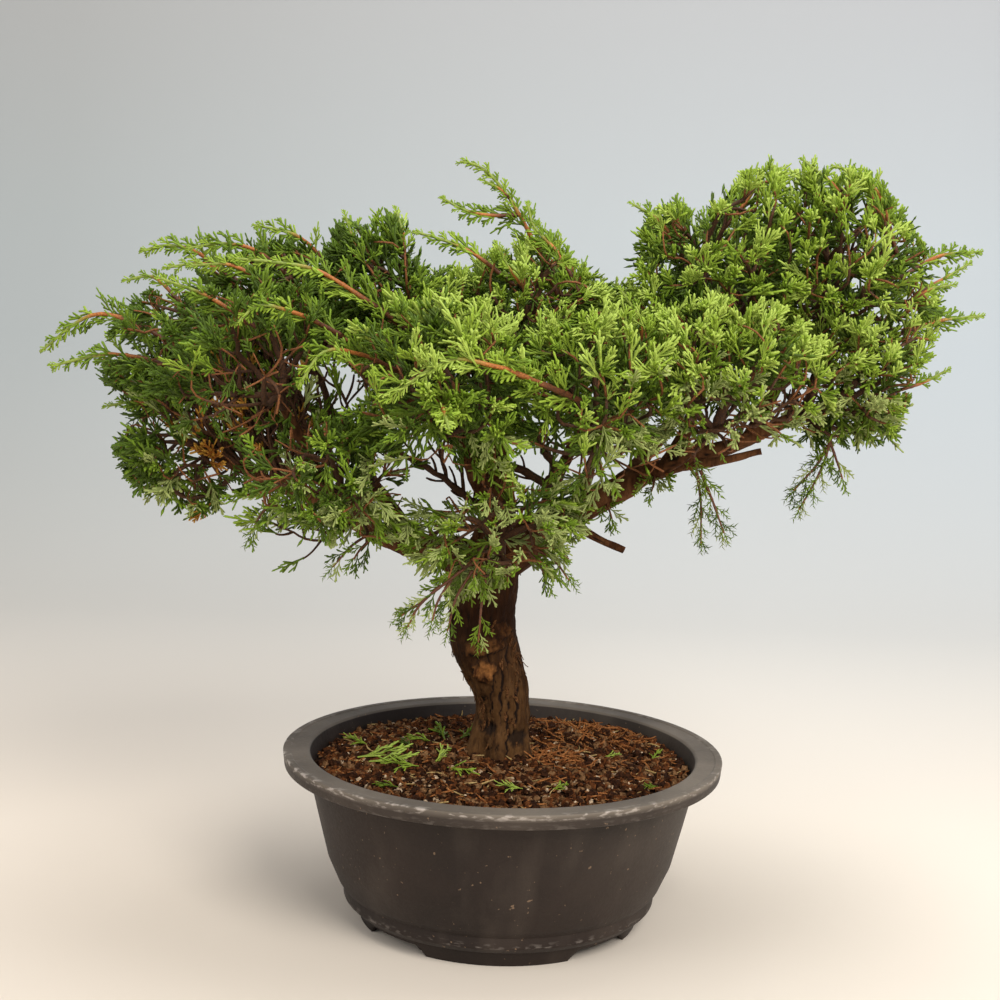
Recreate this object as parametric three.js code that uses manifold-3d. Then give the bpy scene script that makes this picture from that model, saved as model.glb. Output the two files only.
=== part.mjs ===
// A juniper bonsai in its round training pot, in millimetres, +Z up.
// The origin is on the ground under the middle of the pot, and the plant's front faces -Y.
import * as THREE from 'three';
import { mergeVertices } from 'three/addons/utils/BufferGeometryUtils.js';
import Module from 'manifold-3d';

const wasm = await Module();
wasm.setup();

// How far the whole crown reaches to each side and up
const CROWN_SIDE = 296;
const CROWN_DEPTH = 186;
const CROWN_TOP = 485;

// Pot sizes
const POT_RADIUS = 140;
const POT_HEIGHT = 108.4;
const LIP_HEIGHT = 9;
const LIP_TAPER = 1;
const RIM_WIDTH = 17;
const WALL = 3.8;
const FOOT_RADIUS = 89;
const FOOT_BAND = 15.5;
const FOOT_WALL = 7;
const FOOT_RECESS = 6.8;
const FLOOR = 4;
const FEET = 4;
const FOOT_CUT_HEIGHT = 6.5;
const FOOT_CUT_LOW = 25;
const FOOT_CUT_TOP = 19.5;
const FOOT_CUT_FROM = 67;
const FOOT_CUT_TO = 132;
const POT_FACETS = 40;
// Radius of the outer wall at each height, from the foot band to under the lip
const WALL_CURVE = [[94.5, 16.5], [103.6, 26], [110.6, 42], [117.2, 68], [124.6, 98]];

// Soil sizes
const SOIL_TOP = 103;
const SOIL_EDGE = 98;
const SOIL_FLAT = 34;
const SOIL_SWELL = 0.5;
const SOIL_FACETS = POT_FACETS / 2;

// Clearance between pieces that touch, and how much more of it a limb's flat sides need
const TOUCH = 0.3;
const FLATS = 1.15;

// Clearance that foliage keeps from limbs, and from the planes between masses
const LIMB_CLEAR = 1.6;
const SPACE_CLEAR = 0.5;
const CORE_CLEAR = 1;
// How much wider than its named radius a limb is taken to be where foliage grows by it
const LIMB_SWELL = 1.06;

// Facets of the limbs, and the length of a bough's straight pieces
const TRUNK_SIDES = 12;
const BOUGH_SIDES = 6;
const TRUNK_STEPS = 15;
const BOUGH_STEP = 30;

// The root flare: its height over the soil, and the number and depth of its buttresses
const FLARE_HEIGHT = 26;
const FLARE_RIBS = 5;
const FLARE_DEPTH = 0.16;
// How much the trunk's section strays from round all the way up
const TRUNK_WAVES = [0.035, 0.025];

// Twigs: the radius of one that carries a single spray, and how fast it grows with what it carries
const TWIG_RADIUS = 0.95;
const TWIG_GROWTH = 0.42;
const TWIG_SHORTEST = 6;
const STEM_LENGTH = 9;
// What a way along older twigs costs against the same way grown anew
const PATH_COST = 0.45;
// How deep a side twig starts in the twig that carries it, and how far back along that twig
const TWIG_SINK = 0.8;
const TWIG_BACK = 0.25;
// Where the twigs fork: past the core by CARRIER_IN, within CARRIER_OUT of the space, and apart
const CARRIER_IN = 0.08;
const CARRIER_OUT = 0.72;
const CARRIER_APART = 0.75;
const SCATTER_TRIES = 4000;

// Sprays: their lengths, their width and thickness as shares of that, and how they lie
const SPRAY_MAX = 66;
const SPRAY_MIN = 32;
const SPRAY_WIDTH = 0.7;
const SPRAY_THICKNESS = 0.05;
const SPRAY_TRIES = 20;
const SPRAY_ROLL = 0.5;
const SPRAY_STRAY = 0.12;
const SIDE_SPRAY_BACK = 9;
const SIDE_SPRAY_AWAY = 1.1;
// How far past its rounded space a spray may stand, as a share of the space's half size
const SPACE_OVER = 1.04;

// Long shoots: the distance between their sprays, those sprays' length, lean and way to face
const SHOOT_STEP = 22;
const SHOOT_SPRAY = 28;
const SHOOT_BACK = 5;
const SHOOT_AWAY = 0.7;
const SHOOT_FACE = new THREE.Vector3(0, -0.7, 0.7);

// A spray's outline past its root: how far along it each corner lies, and how far to one side, as a
// share of its half width. The teeth on its two sides stand at different places.
const SPRAY_TEETH = [[0.5, -1], [0.52, -0.22], [1, 0], [0.74, 0.9], [0.34, 0.2]];
const SPRAY_HEART = 0.42;

// Cores of the masses: how ragged they are, how deep in them their sprays root, and how much those
// sprays stray from straight out
const CORE_RAGGED = 0.3;
const CORE_ROOT = 0.6;
const CORE_STRAY = 0.7;
const GOLDEN_ANGLE = Math.PI * (3 - Math.sqrt(5));

// The step at which a straight run of a twig or spray is checked, and the crossing that counts
const CHECK_STEP = 5;
const CROSSING = 1e-4;

const vec = (x, y, z) => new THREE.Vector3(x, y, z);

// Repeatable random numbers from 0 to 1
function seeded(seed) {
  let state = seed >>> 0;
  return () => {
    state = (state + 0x6d2b79f5) >>> 0;
    let t = Math.imul(state ^ (state >>> 15), state | 1);
    t ^= t + Math.imul(t ^ (t >>> 7), t | 61);
    return ((t ^ (t >>> 14)) >>> 0) / 4294967296;
  };
}

// A closed mesh as a solid: shared corners merged, flat triangles dropped, faces turned out
function solidOf(geometry) {
  const bare = new THREE.BufferGeometry();
  bare.setAttribute('position', geometry.getAttribute('position').clone());
  if (geometry.index) bare.setIndex(geometry.index.clone());
  const merged = mergeVertices(bare, 1e-3);
  const position = merged.getAttribute('position');
  const corner = merged.index.array;
  const triangles = [];
  let volume = 0;
  for (let i = 0; i < corner.length; i += 3) {
    const [a, b, c] = [corner[i], corner[i + 1], corner[i + 2]];
    if (a === b || b === c || c === a) continue;
    triangles.push([a, b, c]);
    const [p, q, r] = [a, b, c].map((k) => vec().fromBufferAttribute(position, k));
    volume += p.dot(q.cross(r));
  }
  const order = volume < 0 ? ([a, b, c]) => [a, c, b] : (t) => t;
  return new wasm.Manifold(new wasm.Mesh({
    numProp: 3,
    vertProperties: Float32Array.from(position.array),
    triVerts: Uint32Array.from(triangles.flatMap(order)),
  }));
}

// The solid's largest closed skin, which fills sealed hollows and drops loose scraps
function mainBody(solid) {
  return solid.decompose().reduce((best, piece) => (piece.volume() > best.volume() ? piece : best));
}

function geometryOf(solid) {
  const mesh = mainBody(solid).getMesh();
  const geometry = new THREE.BufferGeometry();
  geometry.setAttribute('position', new THREE.BufferAttribute(mesh.vertProperties, 3));
  geometry.setIndex(new THREE.BufferAttribute(mesh.triVerts, 1));
  geometry.computeVertexNormals();
  return geometry;
}

// A profile of [radius, height] corners turned about the upright axis
function turned(profile, facets) {
  const points = profile.map(([radius, height]) => new THREE.Vector2(radius, height));
  return solidOf(new THREE.LatheGeometry(points, facets).rotateX(Math.PI / 2));
}

// Rings of corners joined into a closed skin. An end is flat, or a point where its ring has one
// corner. A blade, where given, goes on from the last ring: its outline from one side of the ring
// to the other, and the middle of each of its faces.
function skinOf(rings, blade) {
  const corners = rings.flat();
  const index = [];
  let base = 0;
  for (let r = 0; r + 1 < rings.length; r += 1) {
    const here = rings[r].length;
    const there = rings[r + 1].length;
    const sides = Math.max(here, there);
    for (let s = 0; s < sides; s += 1) {
      const next = (s + 1) % sides;
      const [a, b] = here === 1 ? [base, base] : [base + s, base + next];
      const [c, d] = there === 1 ? [base + here, base + here] : [base + here + next, base + here + s];
      if (here > 1) index.push(a, b, c);
      if (there > 1) index.push(a, c, d);
    }
    base += here;
  }
  for (let s = 1; s + 1 < rings[0].length; s += 1) index.push(0, s + 1, s);
  if (blade) {
    const count = corners.length;
    const edge = blade.outline.map((_, i) => count + i);
    const top = count + edge.length;
    const bottom = top + 1;
    corners.push(...blade.outline, blade.top, blade.bottom);
    const last = rings.at(-1).map((_, i) => base + i);
    const path = last.length === 1 ? [base, ...edge, base] : [last[0], ...edge, last[1]];
    for (let i = 0; i + 1 < path.length; i += 1) {
      index.push(top, path[i], path[i + 1], bottom, path[i + 1], path[i]);
    }
    if (last.length > 1) index.push(top, last[1], last[2], top, last[2], last[0], bottom, last[0], last[1]);
  } else {
    for (let s = 1; s + 1 < rings.at(-1).length; s += 1) index.push(base, base + s, base + s + 1);
  }
  const geometry = new THREE.BufferGeometry();
  const position = corners.flatMap((p) => [p.x, p.y, p.z]);
  geometry.setAttribute('position', new THREE.Float32BufferAttribute(position, 3));
  geometry.setIndex(index);
  return geometry;
}

// A unit vector square to a direction, turned about it by an angle
function sideways(direction, angle) {
  const helper = Math.abs(direction.z) < 0.9 ? vec(0, 0, 1) : vec(1, 0, 0);
  const side = helper.cross(direction).normalize();
  return side.applyAxisAngle(direction, angle);
}

// Centres, radii and section frames at even steps along a limb that passes through named points
function limbStations(path, steps, growth = 0) {
  const curve = new THREE.CatmullRomCurve3(path.map(([x, y, z]) => vec(x, y, z)));
  const lengths = curve.getLengths(200);
  const total = lengths[200];
  const marks = path.map((point, i) => lengths[Math.round((i / (path.length - 1)) * 200)] / total);
  const stations = [];
  let side = null;
  for (let k = 0; k <= steps; k += 1) {
    const along = k / steps;
    const next = Math.max(1, marks.findIndex((mark) => mark >= along - 1e-9));
    const share = (along - marks[next - 1]) / (marks[next] - marks[next - 1]);
    const radius = path[next - 1][3] + (path[next][3] - path[next - 1][3]) * share + growth;
    const centre = curve.getPointAt(along);
    const direction = curve.getTangentAt(along);
    side = side ? side.addScaledVector(direction, -side.dot(direction)).normalize() : sideways(direction, 0);
    stations.push({ centre, direction, radius, side: side.clone(), along });
  }
  return stations;
}

// A limb's skin, with its section swelled by swell(angle, station) where that is given
function limbSolid(stations, sides, swell = () => 1) {
  const rings = stations.map((station) => {
    const up = station.direction.clone().cross(station.side);
    return Array.from({ length: sides }, (_, s) => {
      const angle = (2 * Math.PI * s) / sides;
      const radius = station.radius * swell(angle, station);
      return station.centre.clone()
        .addScaledVector(station.side, radius * Math.cos(angle))
        .addScaledVector(up, radius * Math.sin(angle));
    });
  });
  return solidOf(skinOf(rings));
}

const nodes = [];
function addNode(name, solid, look) {
  const mesh = new THREE.Mesh(geometryOf(solid), new THREE.MeshStandardMaterial(look));
  mesh.name = name;
  nodes.push(mesh);
}

// Pot: a bowl with a flat rim, a deep lip and a foot band that four low cuts part into feet
const lipBottom = POT_HEIGHT - LIP_HEIGHT;
const rimInner = POT_RADIUS - RIM_WIDTH;
const floorTop = FOOT_RECESS + FLOOR;
const innerCurve = WALL_CURVE.filter(([, height]) => height > floorTop + WALL)
  .map(([radius, height]) => [radius - WALL, height]);

function potSolid() {
  const outer = [
    [FOOT_RADIUS, 0],
    [WALL_CURVE[0][0], FOOT_BAND],
    ...WALL_CURVE.slice(1),
    [WALL_CURVE.at(-1)[0], lipBottom],
    [POT_RADIUS - LIP_TAPER, lipBottom],
    [POT_RADIUS, POT_HEIGHT],
    [rimInner, POT_HEIGHT],
  ];
  const inner = [
    ...innerCurve.slice(1).reverse(),
    [innerCurve[0][0], floorTop + WALL],
    [innerCurve[0][0] - WALL, floorTop],
    [0, floorTop],
  ];
  const under = [
    [0, FOOT_RECESS],
    [FOOT_RADIUS - FOOT_WALL, FOOT_RECESS],
    [FOOT_RADIUS - FOOT_WALL, 0],
    [FOOT_RADIUS, 0],
  ];
  let pot = turned([...outer, ...inner, ...under], POT_FACETS);
  const outline = new THREE.Shape([
    new THREE.Vector2(-FOOT_CUT_LOW, -1),
    new THREE.Vector2(FOOT_CUT_LOW, -1),
    new THREE.Vector2(FOOT_CUT_TOP, FOOT_CUT_HEIGHT),
    new THREE.Vector2(-FOOT_CUT_TOP, FOOT_CUT_HEIGHT),
  ]);
  for (let foot = 0; foot < FEET; foot += 1) {
    const depth = FOOT_CUT_TO - FOOT_CUT_FROM;
    const cut = new THREE.ExtrudeGeometry(outline, { depth, bevelEnabled: false });
    cut.rotateX(Math.PI / 2);
    cut.translate(0, -FOOT_CUT_FROM, 0);
    cut.rotateZ((2 * Math.PI * (foot + 0.5)) / FEET);
    pot = pot.subtract(solidOf(cut));
  }
  return pot;
}

// Soil: fills the bowl, level under the trunk and lower at the wall
function soilSolid() {
  const side = innerCurve.slice(1).filter(([, height]) => height < SOIL_EDGE)
    .map(([radius, height]) => [radius - TOUCH, height]);
  const wallAtEdge = innerCurve.at(-1)[0] - TOUCH;
  return turned([
    [0, floorTop + TOUCH],
    [innerCurve[0][0] - WALL - TOUCH, floorTop + TOUCH],
    [innerCurve[0][0] - TOUCH, floorTop + WALL + TOUCH],
    ...side,
    [wallAtEdge, SOIL_EDGE],
    [(wallAtEdge + SOIL_FLAT) / 2, (SOIL_EDGE + SOIL_TOP) / 2 + SOIL_SWELL],
    [SOIL_FLAT, SOIL_TOP],
    [0, SOIL_TOP],
  ], SOIL_FACETS);
}

addNode('pot', potSolid(), { color: '#38352f', roughness: 0.75, metalness: 0 });
addNode('soil', soilSolid(), { color: '#3b2519', roughness: 0.95, metalness: 0 });

const BARK = { color: '#5a3d2c', roughness: 0.9, metalness: 0 };
const BARK_YOUNG = { color: '#6b3f2a', roughness: 0.9, metalness: 0 };

// Limbs: the points that each one passes through, as [x, y, z, radius], and the limb that carries it
const trunkFoot = SOIL_TOP + TOUCH;
const LIMBS = {
  trunk: {
    path: [
      [-1.7, 0, 96, 20.5], [-1.6, 0, 112, 17.5], [-1.5, 0, 140, 16.6],
      [-9.7, 0, 165, 20], [-15.5, 0, 180, 21.6],
      [-16.5, 0, 196, 21], [-14, 0, 216, 20.2], [-10, 0, 236, 16], [-8.3, 0, 252, 12.5], [-9.1, 1, 276, 9.5],
      [-10, 2, 305, 7], [-5, 5, 335, 5], [2, 8, 360, 4],
    ],
  },
  bough_left: {
    parent: 'trunk',
    path: [
      [-14, 0, 222, 12], [-32, -2, 231, 10.5], [-56, -5, 237, 8], [-78, -8, 244, 7], [-114, 0, 261, 5.4],
      [-152, 0, 275, 4.4], [-182, 0, 288, 3.4],
    ],
  },
  bough_right: {
    parent: 'trunk',
    path: [
      [-8, 0, 232, 13], [19, -3, 250, 11], [49, -10, 267, 9], [71, -15, 283, 7.8], [98, -15, 294, 5.6],
      [137, -10, 309, 4.8], [170, -5, 324, 3.8],
    ],
  },
  bough_left_tip: {
    parent: 'bough_left',
    path: [[-136, 0, 269, 4], [-160, -3, 305, 3.6], [-183, -8, 340, 3]],
  },
  bough_left_mid: {
    parent: 'bough_left',
    path: [[-108, -1, 259, 4.2], [-122, -22, 290, 3.6], [-138, -42, 324, 3]],
  },
  bough_left_front: {
    parent: 'bough_left',
    path: [[-66, -7, 240, 4.4], [-78, -26, 250, 3.8], [-90, -44, 262, 3]],
  },
  bough_left_back: {
    parent: 'bough_left',
    path: [[-56, -4, 237, 4.6], [-86, 34, 268, 4], [-116, 62, 306, 3.2]],
  },
  bough_left_top: {
    parent: 'trunk',
    path: [
      [-9, 1, 282, 6], [-42, 8, 312, 5], [-86, 16, 340, 4.2], [-122, 20, 366, 3.6], [-134, 20, 384, 3],
    ],
  },
  bough_centre_top: {
    parent: 'trunk',
    path: [[-10, 2, 296, 5], [-30, 0, 326, 4.2], [-52, 0, 357, 3.4]],
  },
  bough_centre_front: {
    parent: 'trunk',
    path: [[-8.5, 0, 258, 5.6], [-20, -32, 280, 4.6], [-33, -62, 312, 3.4]],
  },
  bough_centre_back: {
    parent: 'trunk',
    path: [[-9, 0, 268, 5.6], [-20, 38, 296, 4.6], [-32, 66, 326, 3.4]],
  },
  bough_centre_right: {
    parent: 'bough_right',
    path: [[34, -6, 258, 4.8], [42, -28, 276, 4], [48, -48, 300, 3.2]],
  },
  bough_back_right: {
    parent: 'bough_right',
    path: [[16, -2, 248, 5], [30, 34, 280, 4.4], [48, 62, 314, 3.4]],
  },
  bough_right_mid: {
    parent: 'bough_right',
    path: [[88, -15, 290, 4], [104, -32, 302, 3.6], [114, -46, 314, 3]],
  },
  bough_dome_left: {
    parent: 'bough_right',
    path: [[96, -15, 293, 4.6], [112, -8, 330, 4.2], [120, -2, 368, 3.6]],
  },
  bough_dome_right: {
    parent: 'bough_right',
    path: [[148, -9, 313, 4.2], [164, 6, 344, 3.8], [186, 10, 378, 3.4]],
  },
  bough_dome_back: {
    parent: 'bough_right',
    path: [[70, -15, 283, 5], [98, 28, 314, 4.4], [130, 64, 354, 3.6]],
  },
  bough_low_front: {
    parent: 'trunk',
    path: [[-13, -4, 222, 5], [-9, -26, 236, 4], [-7, -40, 245, 3.2]],
  },
  stub_right_under: {
    parent: 'bough_right',
    path: [[104, -15, 296, 3.4], [122, -20, 298, 3], [152, -24, 306, 2]],
  },
  stub_low_right: {
    parent: 'bough_right',
    path: [[34, -8, 258, 3.6], [48, -22, 252, 2.8], [70, -30, 243, 2]],
  },
};

// The root flare's low buttresses, which die out above the soil, and the trunk's slight waves
function flare(angle, station) {
  const low = Math.max(0, 1 - (station.centre.z - trunkFoot) / FLARE_HEIGHT);
  const ribs = FLARE_DEPTH * low * (0.4 + Math.cos(FLARE_RIBS * angle + 0.6));
  const waves = TRUNK_WAVES[0] * Math.sin(3 * angle + station.along * 9)
    + TRUNK_WAVES[1] * Math.sin(2 * angle - station.along * 14);
  return 1 + ribs + waves;
}

const limbSteps = (name) => {
  if (name === 'trunk') return TRUNK_STEPS;
  const { path } = LIMBS[name];
  let length = 0;
  for (let i = 1; i < path.length; i += 1) length += vec(...path[i]).distanceTo(vec(...path[i - 1]));
  return Math.max(2, Math.round(length / BOUGH_STEP));
};

// All that lies under the flat cut at the trunk's foot
function underFoot(size) {
  return solidOf(new THREE.BoxGeometry(size, size, size).translate(0, 0, trunkFoot - size / 2));
}

for (const [name, limb] of Object.entries(LIMBS)) {
  const sides = name === 'trunk' ? TRUNK_SIDES : BOUGH_SIDES;
  const swell = name === 'trunk' ? flare : undefined;
  limb.stations = limbStations(limb.path, limbSteps(name));
  limb.tip = limb.stations.at(-1);
  limb.solid = limbSolid(limb.stations, sides, swell);
  limb.grown = limbSolid(limbStations(limb.path, limbSteps(name), TOUCH * FLATS), sides, swell);
  if (name === 'trunk') {
    limb.solid = limb.solid.subtract(underFoot(POT_RADIUS));
  } else {
    limb.solid = limb.solid.subtract(LIMBS[limb.parent].grown);
  }
  limb.solid = mainBody(limb.solid);
  addNode(name, limb.solid, limb.parent ? BARK_YOUNG : BARK);
}

// How far a point lies outside the nearest limb's skin
function limbDistance(point, skip) {
  let least = Infinity;
  for (const [name, limb] of Object.entries(LIMBS)) {
    if (name === skip) continue;
    for (let i = 1; i < limb.stations.length; i += 1) {
      const a = limb.stations[i - 1];
      const b = limb.stations[i];
      const run = b.centre.clone().sub(a.centre);
      const share = THREE.MathUtils.clamp(point.clone().sub(a.centre).dot(run) / run.lengthSq(), 0, 1);
      const distance = point.distanceTo(a.centre.clone().addScaledVector(run, share));
      least = Math.min(least, distance - (a.radius + (b.radius - a.radius) * share) * LIMB_SWELL);
    }
  }
  return least;
}

// Masses of foliage: each one's limb, the middle and half sizes of its space, its core as a share of
// that, its twigs and the sprays round its core, and the way that it sweeps
const MASSES = {
  foliage_left_tip: {
    limb: 'bough_left_tip', middle: [-217, -12, 364], half: [62, 58, 44],
    core: 0.44, twigs: 4, sprays: 21, sweep: [-0.6, 0, 0],
  },
  foliage_left_low: {
    limb: 'bough_left', middle: [-212, 0, 300], half: [56, 60, 52],
    core: 0.36, twigs: 5, sprays: 19, sweep: [-0.5, 0, -0.3],
  },
  foliage_left_mid: {
    limb: 'bough_left_mid', middle: [-150, -68, 352], half: [62, 58, 50],
    core: 0.44, twigs: 4, sprays: 20, sweep: [-0.5, -0.2, 0],
  },
  foliage_left_front: {
    limb: 'bough_left_front', middle: [-106, -78, 288], half: [60, 56, 46],
    core: 0.38, twigs: 5, sprays: 18, sweep: [-0.3, -0.3, -0.2],
  },
  foliage_left_back: {
    limb: 'bough_left_back', middle: [-146, 92, 342], half: [66, 58, 54],
    core: 0.42, twigs: 4, sprays: 17, sweep: [-0.4, 0.3, 0],
  },
  foliage_left_top: {
    limb: 'bough_left_top', middle: [-158, 24, 406], half: [66, 58, 40],
    core: 0.42, twigs: 4, sprays: 20, sweep: [-0.5, 0, 0.1],
  },
  foliage_centre_top: {
    limb: 'bough_centre_top', middle: [-76, 0, 396], half: [62, 60, 50],
    core: 0.44, twigs: 4, sprays: 21, sweep: [-0.2, 0, 0.2],
  },
  foliage_centre_front: {
    limb: 'bough_centre_front', middle: [-43, -100, 340], half: [64, 60, 50],
    core: 0.44, twigs: 5, sprays: 20, sweep: [-0.4, -0.3, 0],
  },
  foliage_centre_back: {
    limb: 'bough_centre_back', middle: [-45, 108, 360], half: [64, 58, 52],
    core: 0.42, twigs: 4, sprays: 18, sweep: [0, 0.3, 0],
  },
  foliage_apex: {
    limb: 'trunk', middle: [8, 8, 394], half: [60, 60, 50],
    core: 0.42, twigs: 4, sprays: 20, sweep: [0.1, 0, 0.3],
  },
  foliage_centre_right: {
    limb: 'bough_centre_right', middle: [48, -74, 334], half: [64, 60, 54],
    core: 0.44, twigs: 5, sprays: 21, sweep: [0, -0.3, 0],
  },
  foliage_back_right: {
    limb: 'bough_back_right', middle: [60, 98, 352], half: [62, 58, 52],
    core: 0.42, twigs: 4, sprays: 18, sweep: [0, 0.3, 0],
  },
  foliage_right_mid: {
    limb: 'bough_right_mid', middle: [120, -66, 350], half: [62, 56, 48],
    core: 0.42, twigs: 4, sprays: 20, sweep: [0, -0.3, 0],
  },
  foliage_right_low: {
    limb: 'bough_right', middle: [212, -16, 350], half: [58, 60, 50],
    core: 0.42, twigs: 4, sprays: 20, sweep: [0.3, 0, -0.3],
  },
  foliage_dome_left: {
    limb: 'bough_dome_left', middle: [120, -8, 420], half: [64, 66, 62],
    core: 0.5, twigs: 4, sprays: 24, sweep: [0, 0, 0.4],
  },
  foliage_dome_right: {
    limb: 'bough_dome_right', middle: [206, -4, 424], half: [66, 66, 62],
    core: 0.5, twigs: 4, sprays: 24, sweep: [0.2, 0, 0.4],
  },
  foliage_dome_back: {
    limb: 'bough_dome_back', middle: [160, 104, 396], half: [66, 56, 56],
    core: 0.42, twigs: 4, sprays: 17, sweep: [0.1, 0.3, 0.2],
  },
  foliage_low_front: {
    limb: 'bough_low_front', middle: [-6, -74, 254], half: [56, 44, 46],
    core: 0.34, twigs: 5, sprays: 14, sweep: [0, -0.3, -0.5],
  },
};

// Long shoots that stand out of a mass, each a run of points from inside it to its tip
const SHOOTS = [
  { mass: 'foliage_left_tip', run: [[-236, -12, 372], [-262, -8, 376], [-297, 0, 352]] },
  { mass: 'foliage_left_tip', run: [[-226, -20, 350], [-250, -22, 350], [-284, -20, 342]] },
  { mass: 'foliage_left_top', run: [[-186, 20, 418], [-206, 14, 430], [-234, 8, 420]] },
  { mass: 'foliage_left_top', run: [[-128, 22, 424], [-142, 10, 436], [-162, 0, 443]] },
  { mass: 'foliage_apex', run: [[8, 6, 420], [-4, 4, 452], [-38, 0, 480]] },
  { mass: 'foliage_centre_top', run: [[-56, -4, 424], [-64, -6, 432], [-74, -8, 436]] },
  { mass: 'foliage_centre_front', run: [[-20, -112, 346], [-58, -130, 350], [-104, -140, 338]] },
  { mass: 'foliage_left_mid', run: [[-150, -76, 372], [-176, -84, 388], [-204, -86, 398]] },
  { mass: 'foliage_dome_left', run: [[132, -10, 448], [138, -10, 464], [141, -10, 480]] },
  { mass: 'foliage_dome_right', run: [[204, 0, 452], [192, 0, 470], [173, 0, 485]] },
  { mass: 'foliage_dome_right', run: [[236, 12, 436], [262, 22, 440], [296, 30, 432]] },
  { mass: 'foliage_dome_right', run: [[236, -4, 410], [256, -2, 402], [286, 0, 394]] },
  { mass: 'foliage_right_mid', run: [[118, -58, 306], [124, -56, 282], [128, -52, 241]] },
  { mass: 'foliage_right_low', run: [[194, -36, 318], [190, -40, 300], [188, -40, 268]] },
  { mass: 'foliage_low_front', run: [[-24, -78, 234], [-36, -82, 218], [-52, -84, 198]] },
  { mass: 'foliage_low_front', run: [[18, -70, 240], [26, -70, 230], [33, -70, 216]] },
  { mass: 'foliage_left_front', run: [[-128, -76, 264], [-140, -76, 256], [-156, -72, 243]] },
  { mass: 'foliage_left_back', run: [[-140, 130, 350], [-144, 156, 356], [-146, 184, 354]] },
  { mass: 'foliage_dome_back', run: [[160, 136, 400], [166, 158, 406], [170, 184, 402]] },
  { mass: 'foliage_centre_front', run: [[-40, -136, 334], [-38, -158, 332], [-34, -184, 324]] },
];

// How far a mass's space reaches from its middle in a direction
function reach(mass, direction) {
  const [a, b, c] = mass.half;
  return 1 / Math.hypot(direction.x / a, direction.y / b, direction.z / c);
}

// Planes that part each mass from its neighbours, so that every space is convex
for (const [name, mass] of Object.entries(MASSES)) {
  mass.centre = vec(...mass.middle);
  mass.planes = [];
  for (const [other, neighbour] of Object.entries(MASSES)) {
    if (other === name) continue;
    const apart = vec(...neighbour.middle).sub(mass.centre);
    const distance = apart.length();
    const direction = apart.divideScalar(distance);
    const here = reach(mass, direction);
    const there = reach(neighbour, direction);
    mass.planes.push({ direction, limit: (distance * here) / (here + there) - SPACE_CLEAR });
  }
}

const insidePlanes = (mass, point) => {
  const offset = point.clone().sub(mass.centre);
  return mass.planes.every(({ direction, limit }) => offset.dot(direction) < limit);
};

const insideReach = (point) => Math.abs(point.x) < CROWN_SIDE + 0.5 && Math.abs(point.y) < CROWN_DEPTH
  && point.z < CROWN_TOP;

const spaceShare = (mass, point) => {
  const offset = point.clone().sub(mass.centre);
  return Math.hypot(offset.x / mass.half[0], offset.y / mass.half[1], offset.z / mass.half[2]);
};

// Whether a straight run of a twig or spray stays in its space and off the limbs
function clearRun(mass, from, to, margin, freeLimb) {
  const steps = Math.max(2, Math.ceil(from.distanceTo(to) / CHECK_STEP));
  for (let i = 0; i <= steps; i += 1) {
    const point = from.clone().lerp(to, i / steps);
    if (!insidePlanes(mass, point)) return false;
    const skip = freeLimb && i < 2 ? freeLimb : null;
    if (limbDistance(point, skip) < margin) return false;
  }
  return true;
}

// A twig's three-cornered section
function section(centre, direction, side, radius) {
  const face = direction.clone().cross(side);
  return [-5 / 6, -1 / 6, 1 / 2].map((turn) => centre.clone()
    .addScaledVector(side, radius * Math.cos(turn * Math.PI))
    .addScaledVector(face, radius * Math.sin(turn * Math.PI)));
}

// The corners of a spray, a thin toothed blade: its outline past the root, and the middle of each face
function sprayBlade({ root, direction, side, length, hand }) {
  const face = direction.clone().cross(side);
  const halfWidth = (length * SPRAY_WIDTH * hand) / 2;
  const at = (along, across, off) => root.clone().addScaledVector(direction, length * along)
    .addScaledVector(side, halfWidth * across).addScaledVector(face, (off * length * SPRAY_THICKNESS) / 2);
  const outline = SPRAY_TEETH.map(([along, across]) => at(along, across, 0));
  return {
    outline: hand > 0 ? outline : outline.reverse(),
    top: at(SPRAY_HEART, 0, 1),
    bottom: at(SPRAY_HEART, 0, -1),
  };
}

// The dense inside of a mass: a ragged core, smaller than its space and cut clear of the limbs
function coreSolid(mass, random) {
  const geometry = new THREE.IcosahedronGeometry(1, 0);
  const position = geometry.getAttribute('position');
  const shares = new Map();
  for (let i = 0; i < position.count; i += 1) {
    const unit = vec().fromBufferAttribute(position, i).normalize();
    const key = unit.toArray().map((value) => value.toFixed(3)).join();
    if (!shares.has(key)) shares.set(key, mass.core * (1 + CORE_RAGGED * (2 * random() - 1)));
    const offset = unit.multiply(vec(...mass.half)).multiplyScalar(shares.get(key));
    const overs = mass.planes.map(({ direction, limit }) => offset.dot(direction) / (limit - CORE_CLEAR));
    const over = Math.max(1, ...overs);
    position.setXYZ(i, ...mass.centre.clone().addScaledVector(offset, 1 / over));
  }
  return Object.values(LIMBS).reduce((core, limb) => core.subtract(limb.grown), solidOf(geometry));
}

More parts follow.
